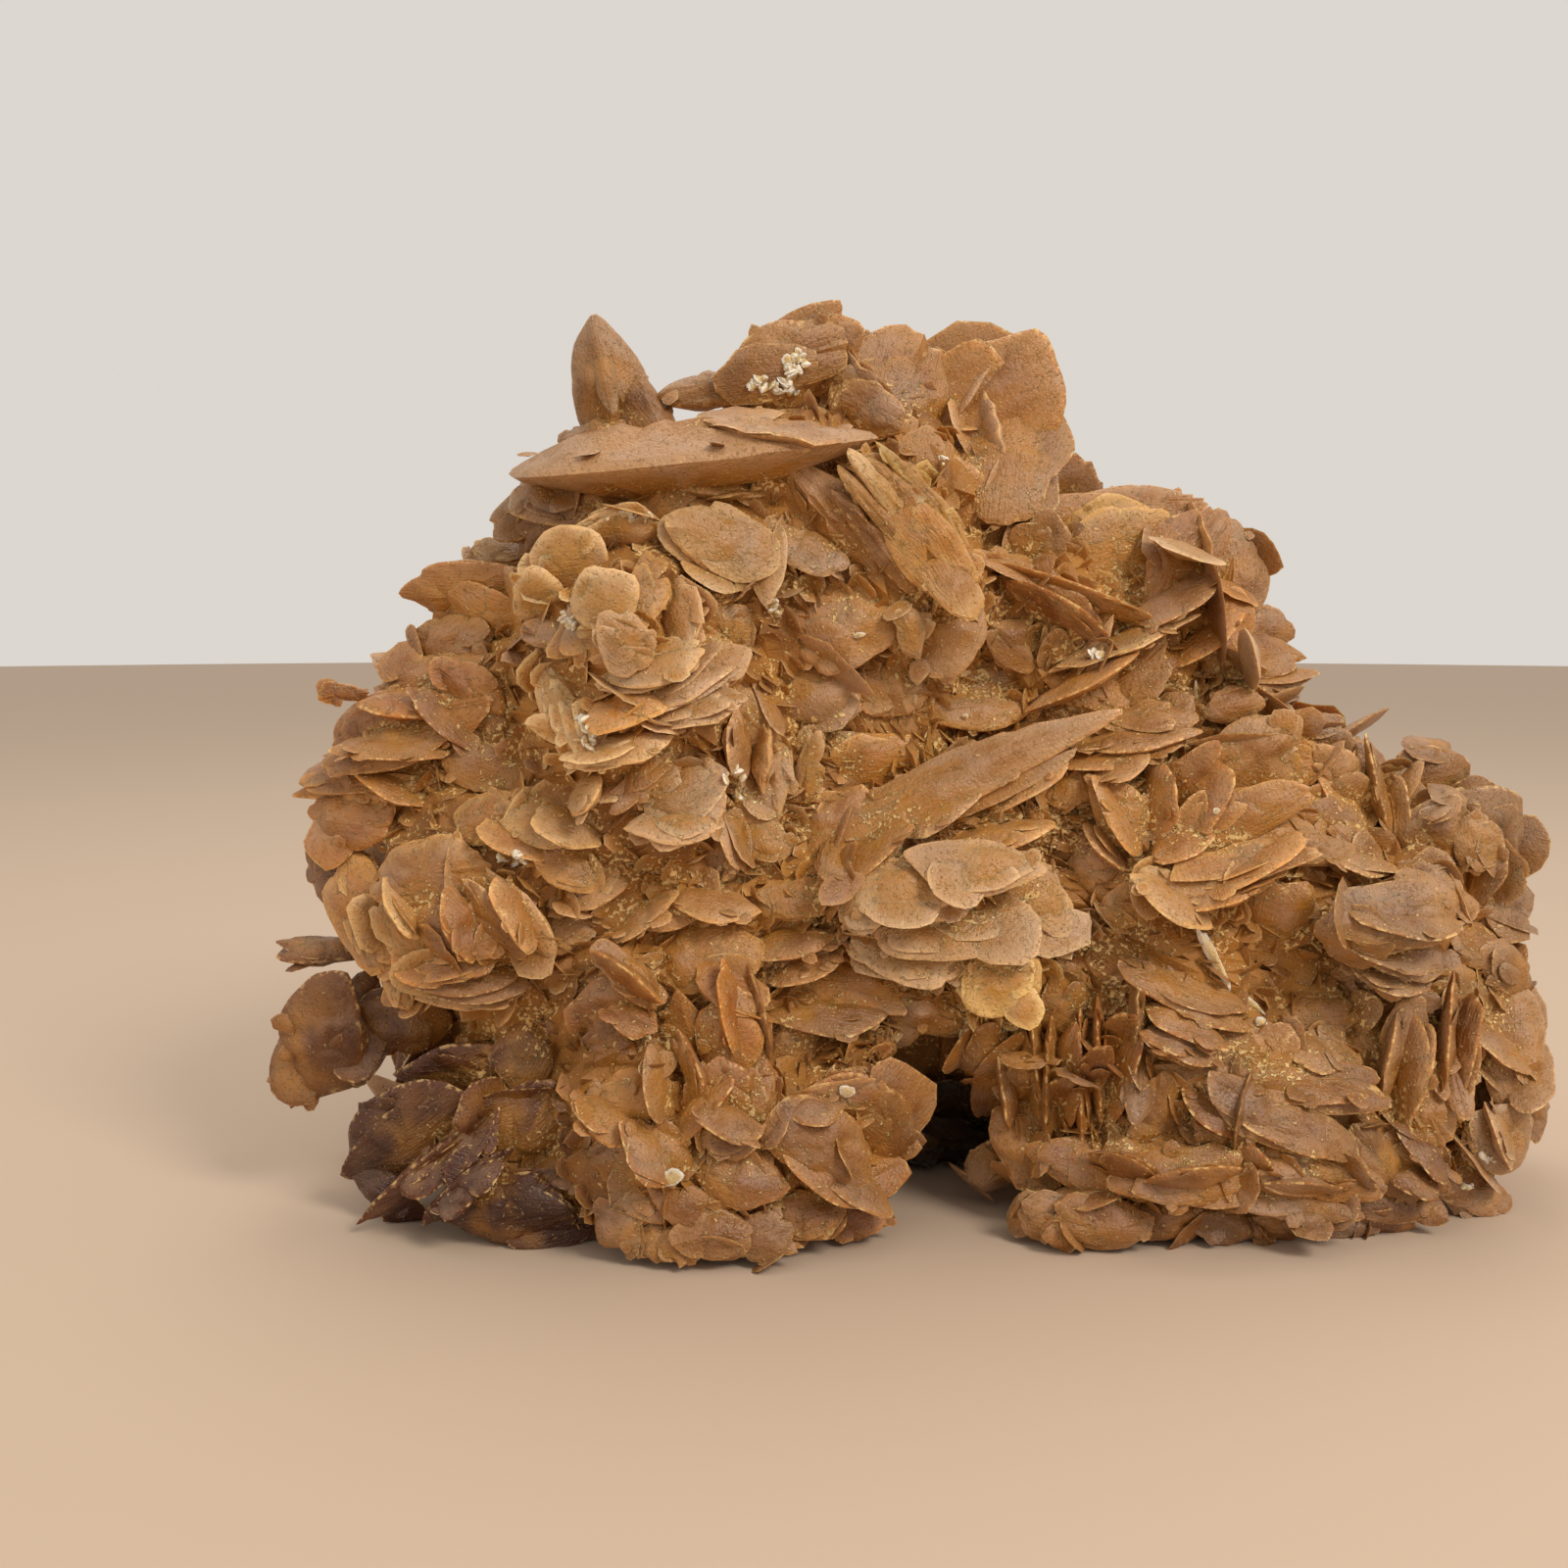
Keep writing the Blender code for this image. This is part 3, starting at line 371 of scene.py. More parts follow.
def petals(blades, dice, per_blade, tilt):
    """Smaller blades rooted across the face of each blade, like the petals of a rose: each stands
    at a place of the face, its first axis leads away from the middle and is tipped about the rim's
    direction, half of them outwards, so that neighbours cut into each other at a long edge."""
    pick = np.repeat(np.arange(len(blades["centre"])), per_blade)
    count = len(pick)
    axes, parent = blades["axes"][pick], blades["size"][pick]
    way = dice.uniform(0, 2 * np.pi, (count, 1))
    reach = np.sqrt(dice.uniform(0.02, 1.0, (count, 1))) * PETAL_REACH
    lean = np.radians(dice.uniform(*tilt, (count, 1)))
    lean = lean * np.where(dice.random((count, 1)) < PETAL_OUTWARD, 1, -1)
    out = axes[:, 0] * np.cos(way) + axes[:, 1] * np.sin(way)
    long_axis, face = swung(out, axes[:, 2], lean)
    size = np.clip(PETAL_SIZE * np.sqrt(parent[:, 0] * parent[:, 1]), *PETAL_LIMITS)
    length = size * dice.uniform(*PETAL_LENGTH, count)
    width = size * dice.uniform(*PETAL_WIDTH, count)
    thick = size * dice.uniform(*PETAL_THICKNESS, count)
    lift = axes[:, 2] * (PETAL_LIFT * parent[:, 2:] - PETAL_SINK * length[:, None] * np.abs(np.sin(lean)))
    standing_axes = np.stack([long_axis, np.cross(face, long_axis), face], axis=1)
    return {
        "centre": blades["centre"][pick] + to_rim(axes, parent, way) * reach + lift,
        "axes": turned(standing_axes, dice, PETAL_SPIN, PETAL_TILT),
        "size": np.stack([length, width, thick], axis=-1),
        "tint": varied(blades["tint"][pick], PETAL_SWING, dice),
    }


def rim_flakes(blades, dice, spacing):
    """Small flakes laid along the rims, one about every spacing mm, pointing outwards."""
    round_rim = np.pi * (blades["size"][:, 0] + blades["size"][:, 1])
    each = np.maximum(FLAKE_LEAST, (round_rim / spacing).astype(int))
    pick = np.repeat(np.arange(len(each)), each)
    count = len(pick)
    axes, parent = blades["axes"][pick], blades["size"][pick]
    way = dice.uniform(0, 2 * np.pi, (count, 1))
    reach = dice.uniform(*FLAKE_REACH, (count, 1))
    across, out = swung(axes[:, 1], axes[:, 0], way)
    lift = axes[:, 2] * (dice.uniform(*FLAKE_LIFT, (count, 1)) * parent[:, 2:])
    length = dice.uniform(*FLAKE_SIZE, count)
    width, thick = length * dice.uniform(*FLAKE_WIDTH, count), length * dice.uniform(*FLAKE_THICKNESS, count)
    return {
        "centre": blades["centre"][pick] + to_rim(axes, parent, way) * reach + lift,
        "axes": turned(np.stack([out, across, axes[:, 2]], axis=1), dice, FLAKE_SPIN, FLAKE_TILT),
        "size": np.stack([length, width, thick], -1),
        "tint": varied(blades["tint"][pick], FLAKE_SWING, dice, FLAKE_LIGHTER),
    }


def joined(parts):
    """One set of shells from several, their corner numbers carried on."""
    firsts = np.cumsum([0] + [len(part["points"]) for part in parts[:-1]])
    kept = ("points", "tint", "share", "valley", "local")
    whole = {key: np.concatenate([part[key] for part in parts]) for key in kept}
    for key in ("quads", "fans"):
        whole[key] = np.concatenate([part[key] + first for part, first in zip(parts, firsts)])
    return whole


def spots_of(mesh):
    """Places of a mesh's vertices (m)."""
    spots = np.empty(3 * len(mesh.vertices), np.float32)
    mesh.vertices.foreach_get("co", spots)
    return spots.reshape(-1, 3)


def mark(mesh, name, values, kind="FLOAT", field="value"):
    """Keeps a value for every vertex, under a name that the material reads."""
    mesh.attributes.new(name, kind, "POINT").data.foreach_set(field, values.ravel())


def piece(name, parts, finish, flat=False):
    """Mesh object of shells, riding on the rose, with the marks tint, share, valley, local (place
    in the blade) and upward (1 where it faces up)."""
    whole = joined(parts)
    whole["points"][:, 2] = np.maximum(whole["points"][:, 2], LOWEST)
    corners = np.concatenate([whole["quads"].ravel(), whole["fans"].ravel()])
    quads, fans = len(whole["quads"]), len(whole["fans"])
    starts = np.concatenate([4 * np.arange(quads), 4 * quads + 3 * np.arange(fans)])
    mesh = bpy.data.meshes.new(name)
    mesh.vertices.add(len(whole["points"]))
    mesh.loops.add(len(corners))
    mesh.polygons.add(quads + fans)
    mesh.vertices.foreach_set("co", ((whole["points"] + SHIFT) * MM).ravel())
    mesh.loops.foreach_set("vertex_index", corners)
    mesh.polygons.foreach_set("loop_start", starts)
    mesh.update(calc_edges=True)
    opaque = np.column_stack([whole["tint"], np.ones(len(whole["tint"]))])
    mark(mesh, "tint", opaque, "FLOAT_COLOR", "color")
    mark(mesh, "share", whole["share"])
    mark(mesh, "valley", whole["valley"])
    mark(mesh, "local", whole["local"], "FLOAT_VECTOR", "vector")
    normals = np.empty(3 * len(mesh.vertices), np.float32)
    mesh.vertex_normals.foreach_get("vector", normals)
    mark(mesh, "upward", np.clip(UPRIGHT_DUST + (1 - UPRIGHT_DUST) * normals[2::3], 0, 1))
    if flat:
        mesh.polygons.foreach_set("use_smooth", np.zeros(quads + fans, bool))
    else:
        mesh.shade_smooth()
        mesh.set_sharp_from_angle(angle=SHARP_ANGLE)
    mesh.materials.append(finish)
    made = bpy.data.objects.new(name, mesh)
    bpy.context.scene.collection.objects.link(made)
    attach(made, "root")
    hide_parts(NODE)
    return made


class Wire:
    """A shader socket. Sums, differences and products of wires add Math nodes."""

    def __init__(self, tree, socket=None):
        self.tree = tree
        self.socket = socket

    def node(self, kind, settings, sockets, out=0):
        """New node: its settings first, then the values or links of its sockets."""
        made = self.tree.nodes.new(kind)
        for key, value in settings.items():
            setattr(made, key, value)
        for key, value in sockets.items():
            if isinstance(value, Wire):
                self.tree.links.new(value.socket, made.inputs[key])
            else:
                made.inputs[key].default_value = value
        return Wire(self.tree, made.outputs[out])

    def maths(self, operation, *values):
        """Math node of the operation on the values."""
        return self.node("ShaderNodeMath", {"operation": operation}, dict(enumerate(values)))

    def __add__(self, other):
        return self.maths("ADD", self, other)

    def __sub__(self, other):
        return self.maths("SUBTRACT", self, other)

    def __rsub__(self, other):
        return self.maths("SUBTRACT", other, self)

    def __mul__(self, other):
        return self.maths("MULTIPLY", self, other)

    __radd__ = __add__
    __rmul__ = __mul__

    def between(self, low, high):
        """0 below low, 1 above high and a smooth step in between."""
        step = {"interpolation_type": "SMOOTHSTEP"}
        return self.node("ShaderNodeMapRange", step, {0: self, 1: low, 2: high})

    def scaled(self, amount):
        """Colour or vector times a number."""
        return self.node("ShaderNodeVectorMath", {"operation": "SCALE"}, {0: self, 3: amount})

    def times(self, shade):
        """Colour times another colour, channel by channel."""
        return self.node("ShaderNodeVectorMath", {"operation": "MULTIPLY"}, {0: self, 1: shade})

    def towards(self, shade, share):
        """Colour mixed with another by a share."""
        return self.node("ShaderNodeMix", {"data_type": "RGBA"}, {0: share, 6: self, 7: shade}, 2)

    def noise(self, scale, detail, rough, stretch=(1.0, 1.0, 1.0)):
        """Noise from 0 to 1 at a scale per unit of this place, with the place first stretched."""
        where = self.node("ShaderNodeMapping", {}, {0: self, 3: stretch})
        sockets = {"Vector": where, "Scale": scale, "Detail": detail, "Roughness": rough}
        return self.node("ShaderNodeTexNoise", {}, sockets)


# Colours of what lies on the crystals, and of the painted glow and glints that shine in them (linear).
BLOOM = (0.46, 0.30, 0.20, 1.0)
DUST = (0.40, 0.235, 0.13, 1.0)
AMBER = (0.47, 0.205, 0.03, 1.0)
# Painted glow of the hollows, and the gold of the sugar with its painted glints.
PAINTED_GLOW = (0.52, 0.235, 0.045, 1.0)
SUGAR_AND_GLINT_GOLD = (0.85, 0.55, 0.22, 1.0)
# Factors on the tone where a blade is thick and where it is thin: painted shade deepens the amber of the
# thick middle, and painted light, as if shining through, makes the thin parts paler.
THICK_PAINTED_SHADE = (0.92, 0.78, 0.44)
THIN_PAINTED_LIGHT = (1.32, 1.46, 1.6)
# Painted highlight: the rims are lightened by this factor.
RIM_PAINTED_HIGHLIGHT = 1.7
# Tints darker than this are painted shade under the arch, which stays dark under dust and sugar.
PAINTED_SHADE_TINT = 0.008
GROWTH_LINES = 11.0  # half waves of the growth lines from the middle of a blade to its rim
# Noises over the piece: scale (per m), detail and roughness.
CLOUDS = (85.0, 4.0, 0.6)
MOTTLE = (480.0, 3.0, 0.7)
GRAIN = (2300.0, 1.0, 0.6)
SUGAR_PATCHES = (150.0, 1.0, 0.6)
BLOOM_PATCHES = (95.0, 2.0, 0.6, (1.0, 1.0, 1.6))
AMBER_PATCHES = (70.0, 2.0, 0.55)
SPECKS = (1500.0, 2.0, 0.6)
FLECKS = (850.0, 2.0, 0.6)
FIBRES = (1.0, 2.0, 0.6, (0.22, 3.4, 0.5))  # across the blade, scale per mm
# Share of stone round a place: steps at which it counts as a hollow, and as inside at all.
HOLLOW = (0.36, 0.66)
INSIDE = (0.2, 0.45)
BUMP_STRENGTH = 0.9
BUMP_HEIGHT = 0.0005
LIGHT_WITHIN = 0.25
LIGHT_REACH = 0.0012
LIGHT_REACH_SHARES = (1.0, 0.6, 0.25)
GYPSUM_IOR = 1.52


def gypsum(name, dust, stripes, crust, glow=0.75, rough=0.3, rim=0.6, amber=0.75):
    """Waxy crystal: cloudy body colour, amber where the blade is thick and paler towards the rim
    as painted shade and light, a painted glow in the hollows, fine stripes across the blade,
    growth lines parallel to the rim, pale dust on what faces up, a painted highlight along the
    rims, golden sugar in hollows and seams with painted glints there and along the rims, and
    painted shade kept on the darkest tints."""
    finish = bpy.data.materials.new(name)
    finish.use_nodes = True
    tree = finish.node_tree
    shader = tree.nodes["Principled BSDF"]
    start = Wire(tree)

    def marked(mark_name, out=2):
        """Value that piece() or the sugar's section keeps under the name."""
        return start.node("ShaderNodeAttribute", {"attribute_name": mark_name}, {}, out)

    tint = marked("tint", 0)
    share = marked("share")
    upward = marked("upward")
    local = marked("local", 1)
    filled = marked("filled")
    valley = marked("valley")
    place = start.node("ShaderNodeTexCoord", {}, {}, 3)

    clouds = place.noise(*CLOUDS)
    mottle = place.noise(*MOTTLE)
    grain = place.noise(*GRAIN)
    fibres = local.noise(*FIBRES)
    sugary = place.noise(*SUGAR_PATCHES).between(0.42, 0.62)
    lines = GROWTH_LINES * share + 6.0 * clouds + 2.0 * mottle
    growth = lines.maths("PINGPONG", lines, 1.0) * sugary
    bloom = place.noise(*BLOOM_PATCHES).between(0.5, 0.68)
    hollow = filled.between(*HOLLOW)
    outer = 1.0 - filled.between(*INSIDE)

    # Painted light and shade: deeper amber where the blade is thick, paler where it is thin.
    thin = (share + 0.5 * (clouds - 0.5)).between(0.45, 0.98)
    body = tint.times(THICK_PAINTED_SHADE).towards(tint.times(THIN_PAINTED_LIGHT), thin)
    cloudy = 0.14 + 0.62 * clouds + 0.62 * mottle + 0.36 * grain
    body = body.scaled(cloudy + 0.2 * stripes * fibres + 0.04 * growth)
    depth = place.noise(*AMBER_PATCHES).between(0.44, 0.66) * (1.0 - 0.7 * thin)
    body = body.towards(AMBER, amber * depth)
    # Painted glow in the hollows.
    body = body.towards(PAINTED_GLOW, glow * hollow * (0.35 + 0.8 * mottle))
    body = body.towards(BLOOM, bloom * dust)
    film = (upward * (0.55 + clouds) * mottle.between(0.25, 0.62)).between(0.12, 0.8)
    film = film * dust * (0.75 - 0.6 * hollow)
    body = body.towards(DUST, film + 0.12 * outer * clouds)
    # Painted highlight along the rims.
    painted_rim_highlight = share.between(0.84, 0.99) * rim * mottle.between(0.3, 0.6)
    body = body.towards(tint.scaled(RIM_PAINTED_HIGHLIGHT), painted_rim_highlight)
    # Golden sugar in hollows and seams, partly painted glints, and painted glints along the rims.
    specks = (place.noise(*SPECKS) + 0.14 * hollow * sugary).between(0.61, 0.69)
    flecks = place.noise(*FLECKS).between(0.47, 0.62)
    seam = valley.between(0.55, 0.95) * flecks * sugary
    glint = share.between(0.93, 0.995) * flecks
    sugar = specks.maths("MAXIMUM", specks * (crust + 0.6 * hollow), 0.8 * seam)
    body = body.towards(SUGAR_AND_GLINT_GOLD, sugar.maths("MAXIMUM", sugar, rim * glint))
    # Painted shade: the darkest tints, under the arch, stay dark.
    body = body.scaled(tint.between(0.0, PAINTED_SHADE_TINT))
    matt = rough + 0.22 * film + 0.22 * mottle - 0.15 * sugar - 0.12 * glint
    relief = 0.5 * stripes * fibres + 0.6 * mottle + 0.35 * grain + 0.8 * specks
    bump = {"Strength": BUMP_STRENGTH, "Distance": BUMP_HEIGHT, "Height": relief}
    normal = start.node("ShaderNodeBump", {}, bump)
    for socket, value in (("Base Color", body), ("Roughness", matt), ("Normal", normal)):
        tree.links.new(value.socket, shader.inputs[socket])
    shader.inputs["Subsurface Weight"].default_value = LIGHT_WITHIN
    shader.inputs["Subsurface Radius"].default_value = LIGHT_REACH_SHARES
    shader.inputs["Subsurface Scale"].default_value = LIGHT_REACH
    shader.inputs["IOR"].default_value = GYPSUM_IOR
    return finish


def leaf_shells(book, dice, ragged=1.0):
    """Shells of the leaves, with more points on the large ones. Ragged scales lobes and pleats."""
    large = book["size"][:, 0] >= LARGE_LENGTH
    made = []
    for keep, rings, around, lobe_count in (
        (large, LARGE_RINGS, LARGE_AROUND, LARGE_LOBE_COUNT),
        (~large, SMALL_RINGS, SMALL_AROUND, SMALL_LOBE_COUNT),
    ):
        kept = {key: value[keep] for key, value in book.items()}
        made.append(
            shells(kept, rings, around, dice, LEAF_LOBES * ragged, LEAF_CUP, lobe_count, PLEAT * ragged)
        )
    return made


def cluster(name, rows, shade, look, plates=1, crossing=0, tilt=(15, 60), over=(1, 2), ragged=1.0):
    """One piece of blades with the side plates, petals and rim flakes that grew on them, the tones
    of all of them times the shade. Look holds the settings of its gypsum."""
    finish = gypsum(name.replace("_", " ") + " gypsum", **look)
    dice = np.random.default_rng(FIRST_SEED + len(grown))
    blades = blades_from(rows, dice)
    blades["tint"] = blades["tint"] * shade
    plate = side_plates(blades, dice, plates)
    petal = petals(blades, dice, crossing, tilt)
    small = rim_flakes(blades, dice, FRONT_SPACING)
    grown.append(blades)
    piece(name, [
        *leaf_shells(leaves(blades, dice, over), dice, ragged),
        shells(plate, PLATE_RINGS, PLATE_AROUND, dice, 0.14, 0.03, PLATE_LOBE_COUNT),
        shells(petal, PETAL_RINGS, PETAL_AROUND, dice, 0.1, 0.05, PLATE_LOBE_COUNT),
        flakes(small, dice),
    ], finish)


# Blades: across, up, depth, half length, half width, thickness, spin, lean, turn and tone.
HORN = (
    (-43.2, 117, 8, 12.9, 6.2, 6.2, 106, 8, -10, "p"), (-39.8, 116.8, 7, 12.6, 3.6, 5, 125, -10, 20, "b"),
    (-47, 117.4, 10, 5.8, 1.9, 1.8, 97, 0, -50, "b"), (-44.6, 121, 4.5, 6.5, 1.8, 2.4, 104, 0, 15, "l"),
    (-46, 112, 6, 7, 3.5, 4.5, 20, 40, 0, "p"), (-35.3, 109.2, -2, 28.2, 15, 8.2, 9, 82, 4, "p"),
)

cluster(
    "horn", HORN, (0.68, 0.63, 0.56), dict(dust=0.4, stripes=0.9, crust=0.2, rim=0.12),
    plates=0, over=(0, 0), ragged=0.25,
)

# ---------------------------------------------------------------------------------------------
# Crown: the two scalloped top plates and the big round fan on the right.
# Large honey blades grown side by side, thin enough at the rim to glow amber; the glow is partly painted in
# the amber tone.
# ---------------------------------------------------------------------------------------------

CROWN = (
    (-47.5, 108.4, -1, 11.6, 8, 4.6, 9, 78, -8, "h"), (-20, 112.6, -7, 13.5, 8, 3.4, -3, 74, 3, "p"),
    (-18.6, 122.2, 6, 10.8, 6.6, 4, 27, -14, 12, "h"), (-13.4, 124, 9, 7.5, 5.2, 3.2, 60, -10, -18, "a"),
    (-28.5, 118.4, 6, 9, 3.8, 4.5, 6, 34, 0, "p"), (-4, 117.6, 10, 11.8, 10.2, 4.6, 75, -6, 14, "a"),
    (8.6, 113.4, 13, 16, 12.8, 5, 44, 6, -6, "a"), (12.8, 108.8, 9, 13.4, 8.8, 4.2, 84, 0, 26, "h"),
    (17, 112.5, 16, 11.5, 5.6, 3.8, 70, 0, 38, "p"), (6, 100.5, 8, 11.5, 7.5, 5, -62, -12, 12, "h"),
    (13.5, 99, 9, 9.5, 6, 4, 82, -8, -14, "p"), (0.4, 107.6, 2, 6.4, 5.4, 2.8, 70, -6, 20, "h"),
    (-6, 115.6, 3, 6, 4, 2.6, -30, -12, -14, "a"),
)

cluster("crown", CROWN, (0.7, 0.62, 0.48), dict(dust=0.4, stripes=0.8, crust=0.25))

# ---------------------------------------------------------------------------------------------
# Prism: the striped slab that slopes down to the right in front of the fan.
# One thick gypsum crystal split along its length, light on top and painted shade (tone b) on its left face.
# ---------------------------------------------------------------------------------------------

PRISM = (
    (0.6, 98.4, -7, 15.2, 6.6, 7.5, -43, 26, 8, "h"), (-8.2, 98, -5, 14, 5.6, 5.5, -46, -22, 6, "b"),
    (4.5, 91.5, -9, 7.6, 4.4, 4.5, -60, 20, -20, "h"), (-6, 97.4, -8.2, 11.5, 2, 3.6, -47, 24, 8, "b"),
    (-4, 99.2, -9, 13.2, 1.9, 3.4, -46, 20, 8, "h"), (-2.2, 100.8, -9.4, 13.6, 1.8, 3.4, -45, 30, 8, "l"),
    (-0.6, 102.4, -9.2, 12.6, 1.7, 3.2, -44, 26, 8, "h"), (1, 103.8, -8.8, 11.8, 1.7, 3, -43, 34, 8, "y"),
    (3.2, 98, -9.6, 9, 2.6, 3.6, -52, 22, 4, "h"),
)

cluster(
    "prism", PRISM, (0.95, 0.96, 0.9), dict(dust=0.3, stripes=1.3, crust=0.2),
    plates=0, over=(0, 0), ragged=0.15,
)

# ---------------------------------------------------------------------------------------------
# Collar under the crown: small pale disks and dusty blocks that carry the long level blade.
# Gypsum, dull with pinkish dust.
# ---------------------------------------------------------------------------------------------

UNDER_CROWN = (
    (-30, 104.8, -5, 9.8, 3.6, 3, 3, 62, 10, "l"), (-40.2, 107.6, -6, 3.8, 3.3, 2, 10, 20, -16, "l"),
    (-36, 103.6, -6, 5.6, 4.2, 3.2, 24, 24, 0, "h"), (-27.6, 96.6, -11, 8.6, 6.4, 4, -22, 18, 14, "l"),
    (-28.4, 90.4, -8, 7.6, 4.2, 3.4, 20, 50, 0, "p"), (-26.4, 84.4, -9, 4.8, 4.2, 2.6, -60, 14, 24, "p"),
    (-15.4, 95.8, -7, 6.8, 4.4, 3.2, -18, 30, 6, "g"), (-43, 103, 0, 6.8, 4, 4, -12, 20, -10, "p"),
    (-52.4, 99.6, 3, 7, 3.8, 4, 48, 12, -20, "b"), (-60.4, 95.8, 10, 4.6, 2.4, 2, 4, 30, 0, "l"),
    (-50, 103.6, 3, 8.6, 5.6, 5, 12, 36, 6, "g"), (-56.5, 101, 6, 5.6, 4, 3.6, 30, 20, 0, "p"),
)

cluster(
    "under_crown", UNDER_CROWN, (0.8, 0.76, 0.66), dict(dust=0.55, stripes=0.5, crust=0.4),
    crossing=2, tilt=(25, 65),
)

# ---------------------------------------------------------------------------------------------
# Upper left rosette: overlapping rounded blades round an amber one, stacked like pages below.
# Gypsum with a bloom of white dust on its left edge.
# ---------------------------------------------------------------------------------------------

ROSETTE = (
    (-54.4, 89.6, -12, 5.2, 4.5, 2.6, 80, 0, -34, "l"), (-50, 95, -12, 6.2, 5.2, 2.8, 10, -16, -16, "l"),
    (-44.6, 88.4, -24, 5.8, 5.2, 2.6, -30, -8, -4, "l"), (-38.8, 90, -19, 6.8, 3.2, 2.4, 94, 0, 34, "a"),
    (-33.6, 87, -18, 7.2, 3.6, 2.6, 112, 6, 34, "p"), (-42.6, 82.6, -25, 5.6, 4.4, 2.4, -50, 14, 10, "p"),
    (-43, 99, -10, 7.4, 4.6, 3.2, 2, -40, 0, "l"), (-37.6, 79.2, -22, 9.2, 4.6, 3, 16, 46, 6, "l"),
    (-36.2, 75.8, -20, 10.4, 4.6, 3, 18, 52, 4, "g"), (-31.8, 73.4, -20, 7.8, 4.4, 2.8, 18, 50, 6, "g"),
    (-42.2, 73, -23, 7.4, 4.6, 2.8, 8, 44, -4, "a"), (-43.4, 67, -22, 8.4, 4.2, 3, 8, 56, -4, "l"),
    (-52, 74, -17, 8, 4, 3.2, -68, 10, -26, "l"), (-48, 69, -21, 7.5, 3, 2.6, -58, 16, -20, "l"),
    (-34, 60.6, -18, 7.8, 6.2, 3.6, 36, 30, 10, "g"), (-33.6, 56.4, -20, 6.8, 4.6, 3, 14, 46, 8, "g"),
    (-39, 63.4, -19, 8.6, 2.6, 2.2, 50, 20, 16, "b"), (-47.4, 84, -20, 5.8, 4.6, 2.6, 30, 20, -14, "h"),
    (-52.5, 84, -12, 5.8, 3.4, 2.6, -20, 30, -18, "b"), (-30, 80, -13, 6.6, 5, 3, 20, 30, 22, "g"),
)

cluster(
    "rosette", ROSETTE, (1.14, 1.12, 1.0), dict(dust=0.5, stripes=0.4, crust=0.45),
    crossing=1, tilt=(20, 65),
)

# ---------------------------------------------------------------------------------------------
# Left fan: long blades piled almost level and spread towards the left edge.
# Amber gypsum with thin scalloped rims, darker between the layers.
# ---------------------------------------------------------------------------------------------

LEFT_FAN = (
    (-64.4, 90, 3, 10.6, 5.4, 3.8, 4, -16, -12, "o"), (-62, 87, 1, 6.8, 4.6, 3.2, -30, -22, -10, "a"),
    (-66.8, 82.6, 1, 8.4, 4.8, 3.6, 14, 18, -14, "p"), (-70, 77.4, -1, 12, 4.4, 3.4, 8, 18, -12, "h"),
    (-74.2, 71, -3, 14.6, 5.8, 3.8, 10, 14, -16, "o"), (-76.2, 67, -6, 12.8, 4.2, 3, 6, 34, -14, "h"),
    (-79, 62.4, -3, 13.4, 4.6, 3.2, 0, 40, -16, "h"), (-82.6, 56.8, -4, 9.4, 5.4, 3.4, -10, 14, -20, "o"),
    (-85, 49.6, -2, 6.4, 4.6, 3.6, -50, 0, -30, "b"), (-82.6, 75.4, 0, 3.4, 1.4, 1.4, 172, 0, 0, "o"),
    (-62, 72, -4, 7.4, 4.6, 3.6, -54, 8, -10, "b"), (-64.5, 76, -5, 6.4, 3.4, 2.6, -40, 12, -8, "o"),
    (-62.5, 64.5, -8, 7.6, 4.6, 3.4, -20, 20, -10, "p"),
)

cluster(
    "left_fan", LEFT_FAN, (0.78, 0.64, 0.4), dict(dust=0.35, stripes=0.9, crust=0.25),
    crossing=1, tilt=(10, 35),
)

# ---------------------------------------------------------------------------------------------
# Lower left rosettes: three small roses under the fan, blades turned every way.
# Honey gypsum, glossy at the rims and sugary between.
# ---------------------------------------------------------------------------------------------

LEFT_ROSETTE = (
    (-81, 42.6, -8, 11, 5.6, 3.8, -62, 0, -24, "h"), (-70.6, 47.6, -15, 10.4, 7, 4, -4, 10, -12, "h"),
    (-74, 40, -14, 8.6, 5, 3.4, -40, 10, -22, "l"), (-50.8, 50.4, -16, 7, 4.8, 3, -20, 34, 4, "h"),
    (-54, 56, -16, 6.6, 4, 2.8, -14, 36, -4, "l"), (-62.2, 57.2, -13, 6.6, 4.2, 3, 16, 26, -8, "h"),
    (-46.8, 46.6, -15, 5, 3.8, 2.6, 30, 40, 10, "p"), (-51.2, 41, -13, 5.4, 4.4, 2.8, 60, 6, 24, "g"),
    (-57.4, 42.4, -17, 8.8, 3.2, 2.8, -50, -24, -4, "p"), (-61.4, 42, -19, 8.4, 3, 2.6, -52, -20, -4, "o"),
    (-67, 40.6, -18, 7.4, 5, 3, -10, 22, -10, "o"), (-67.4, 35.4, -17, 7.4, 3.6, 2.4, 2, 44, -6, "o"),
    (-66.4, 33, -15, 9.4, 4.2, 2.8, -2, 50, -4, "b"), (-65.6, 30.6, -12, 8.6, 4, 2.6, 2, 54, 0, "p"),
    (-76.4, 33, -10, 7, 2.6, 2.6, -66, 0, -30, "h"),
)

cluster(
    "left_rosette", LEFT_ROSETTE, (1.0, 0.92, 0.7), dict(dust=0.35, stripes=0.5, crust=0.4),
    crossing=2, tilt=(30, 75),
)

# ---------------------------------------------------------------------------------------------
# Oval: the smooth dark plate at the far left and the pointed blade above it.
# Brown gypsum, its brown partly painted shade, worn and slightly glossy.
# ---------------------------------------------------------------------------------------------

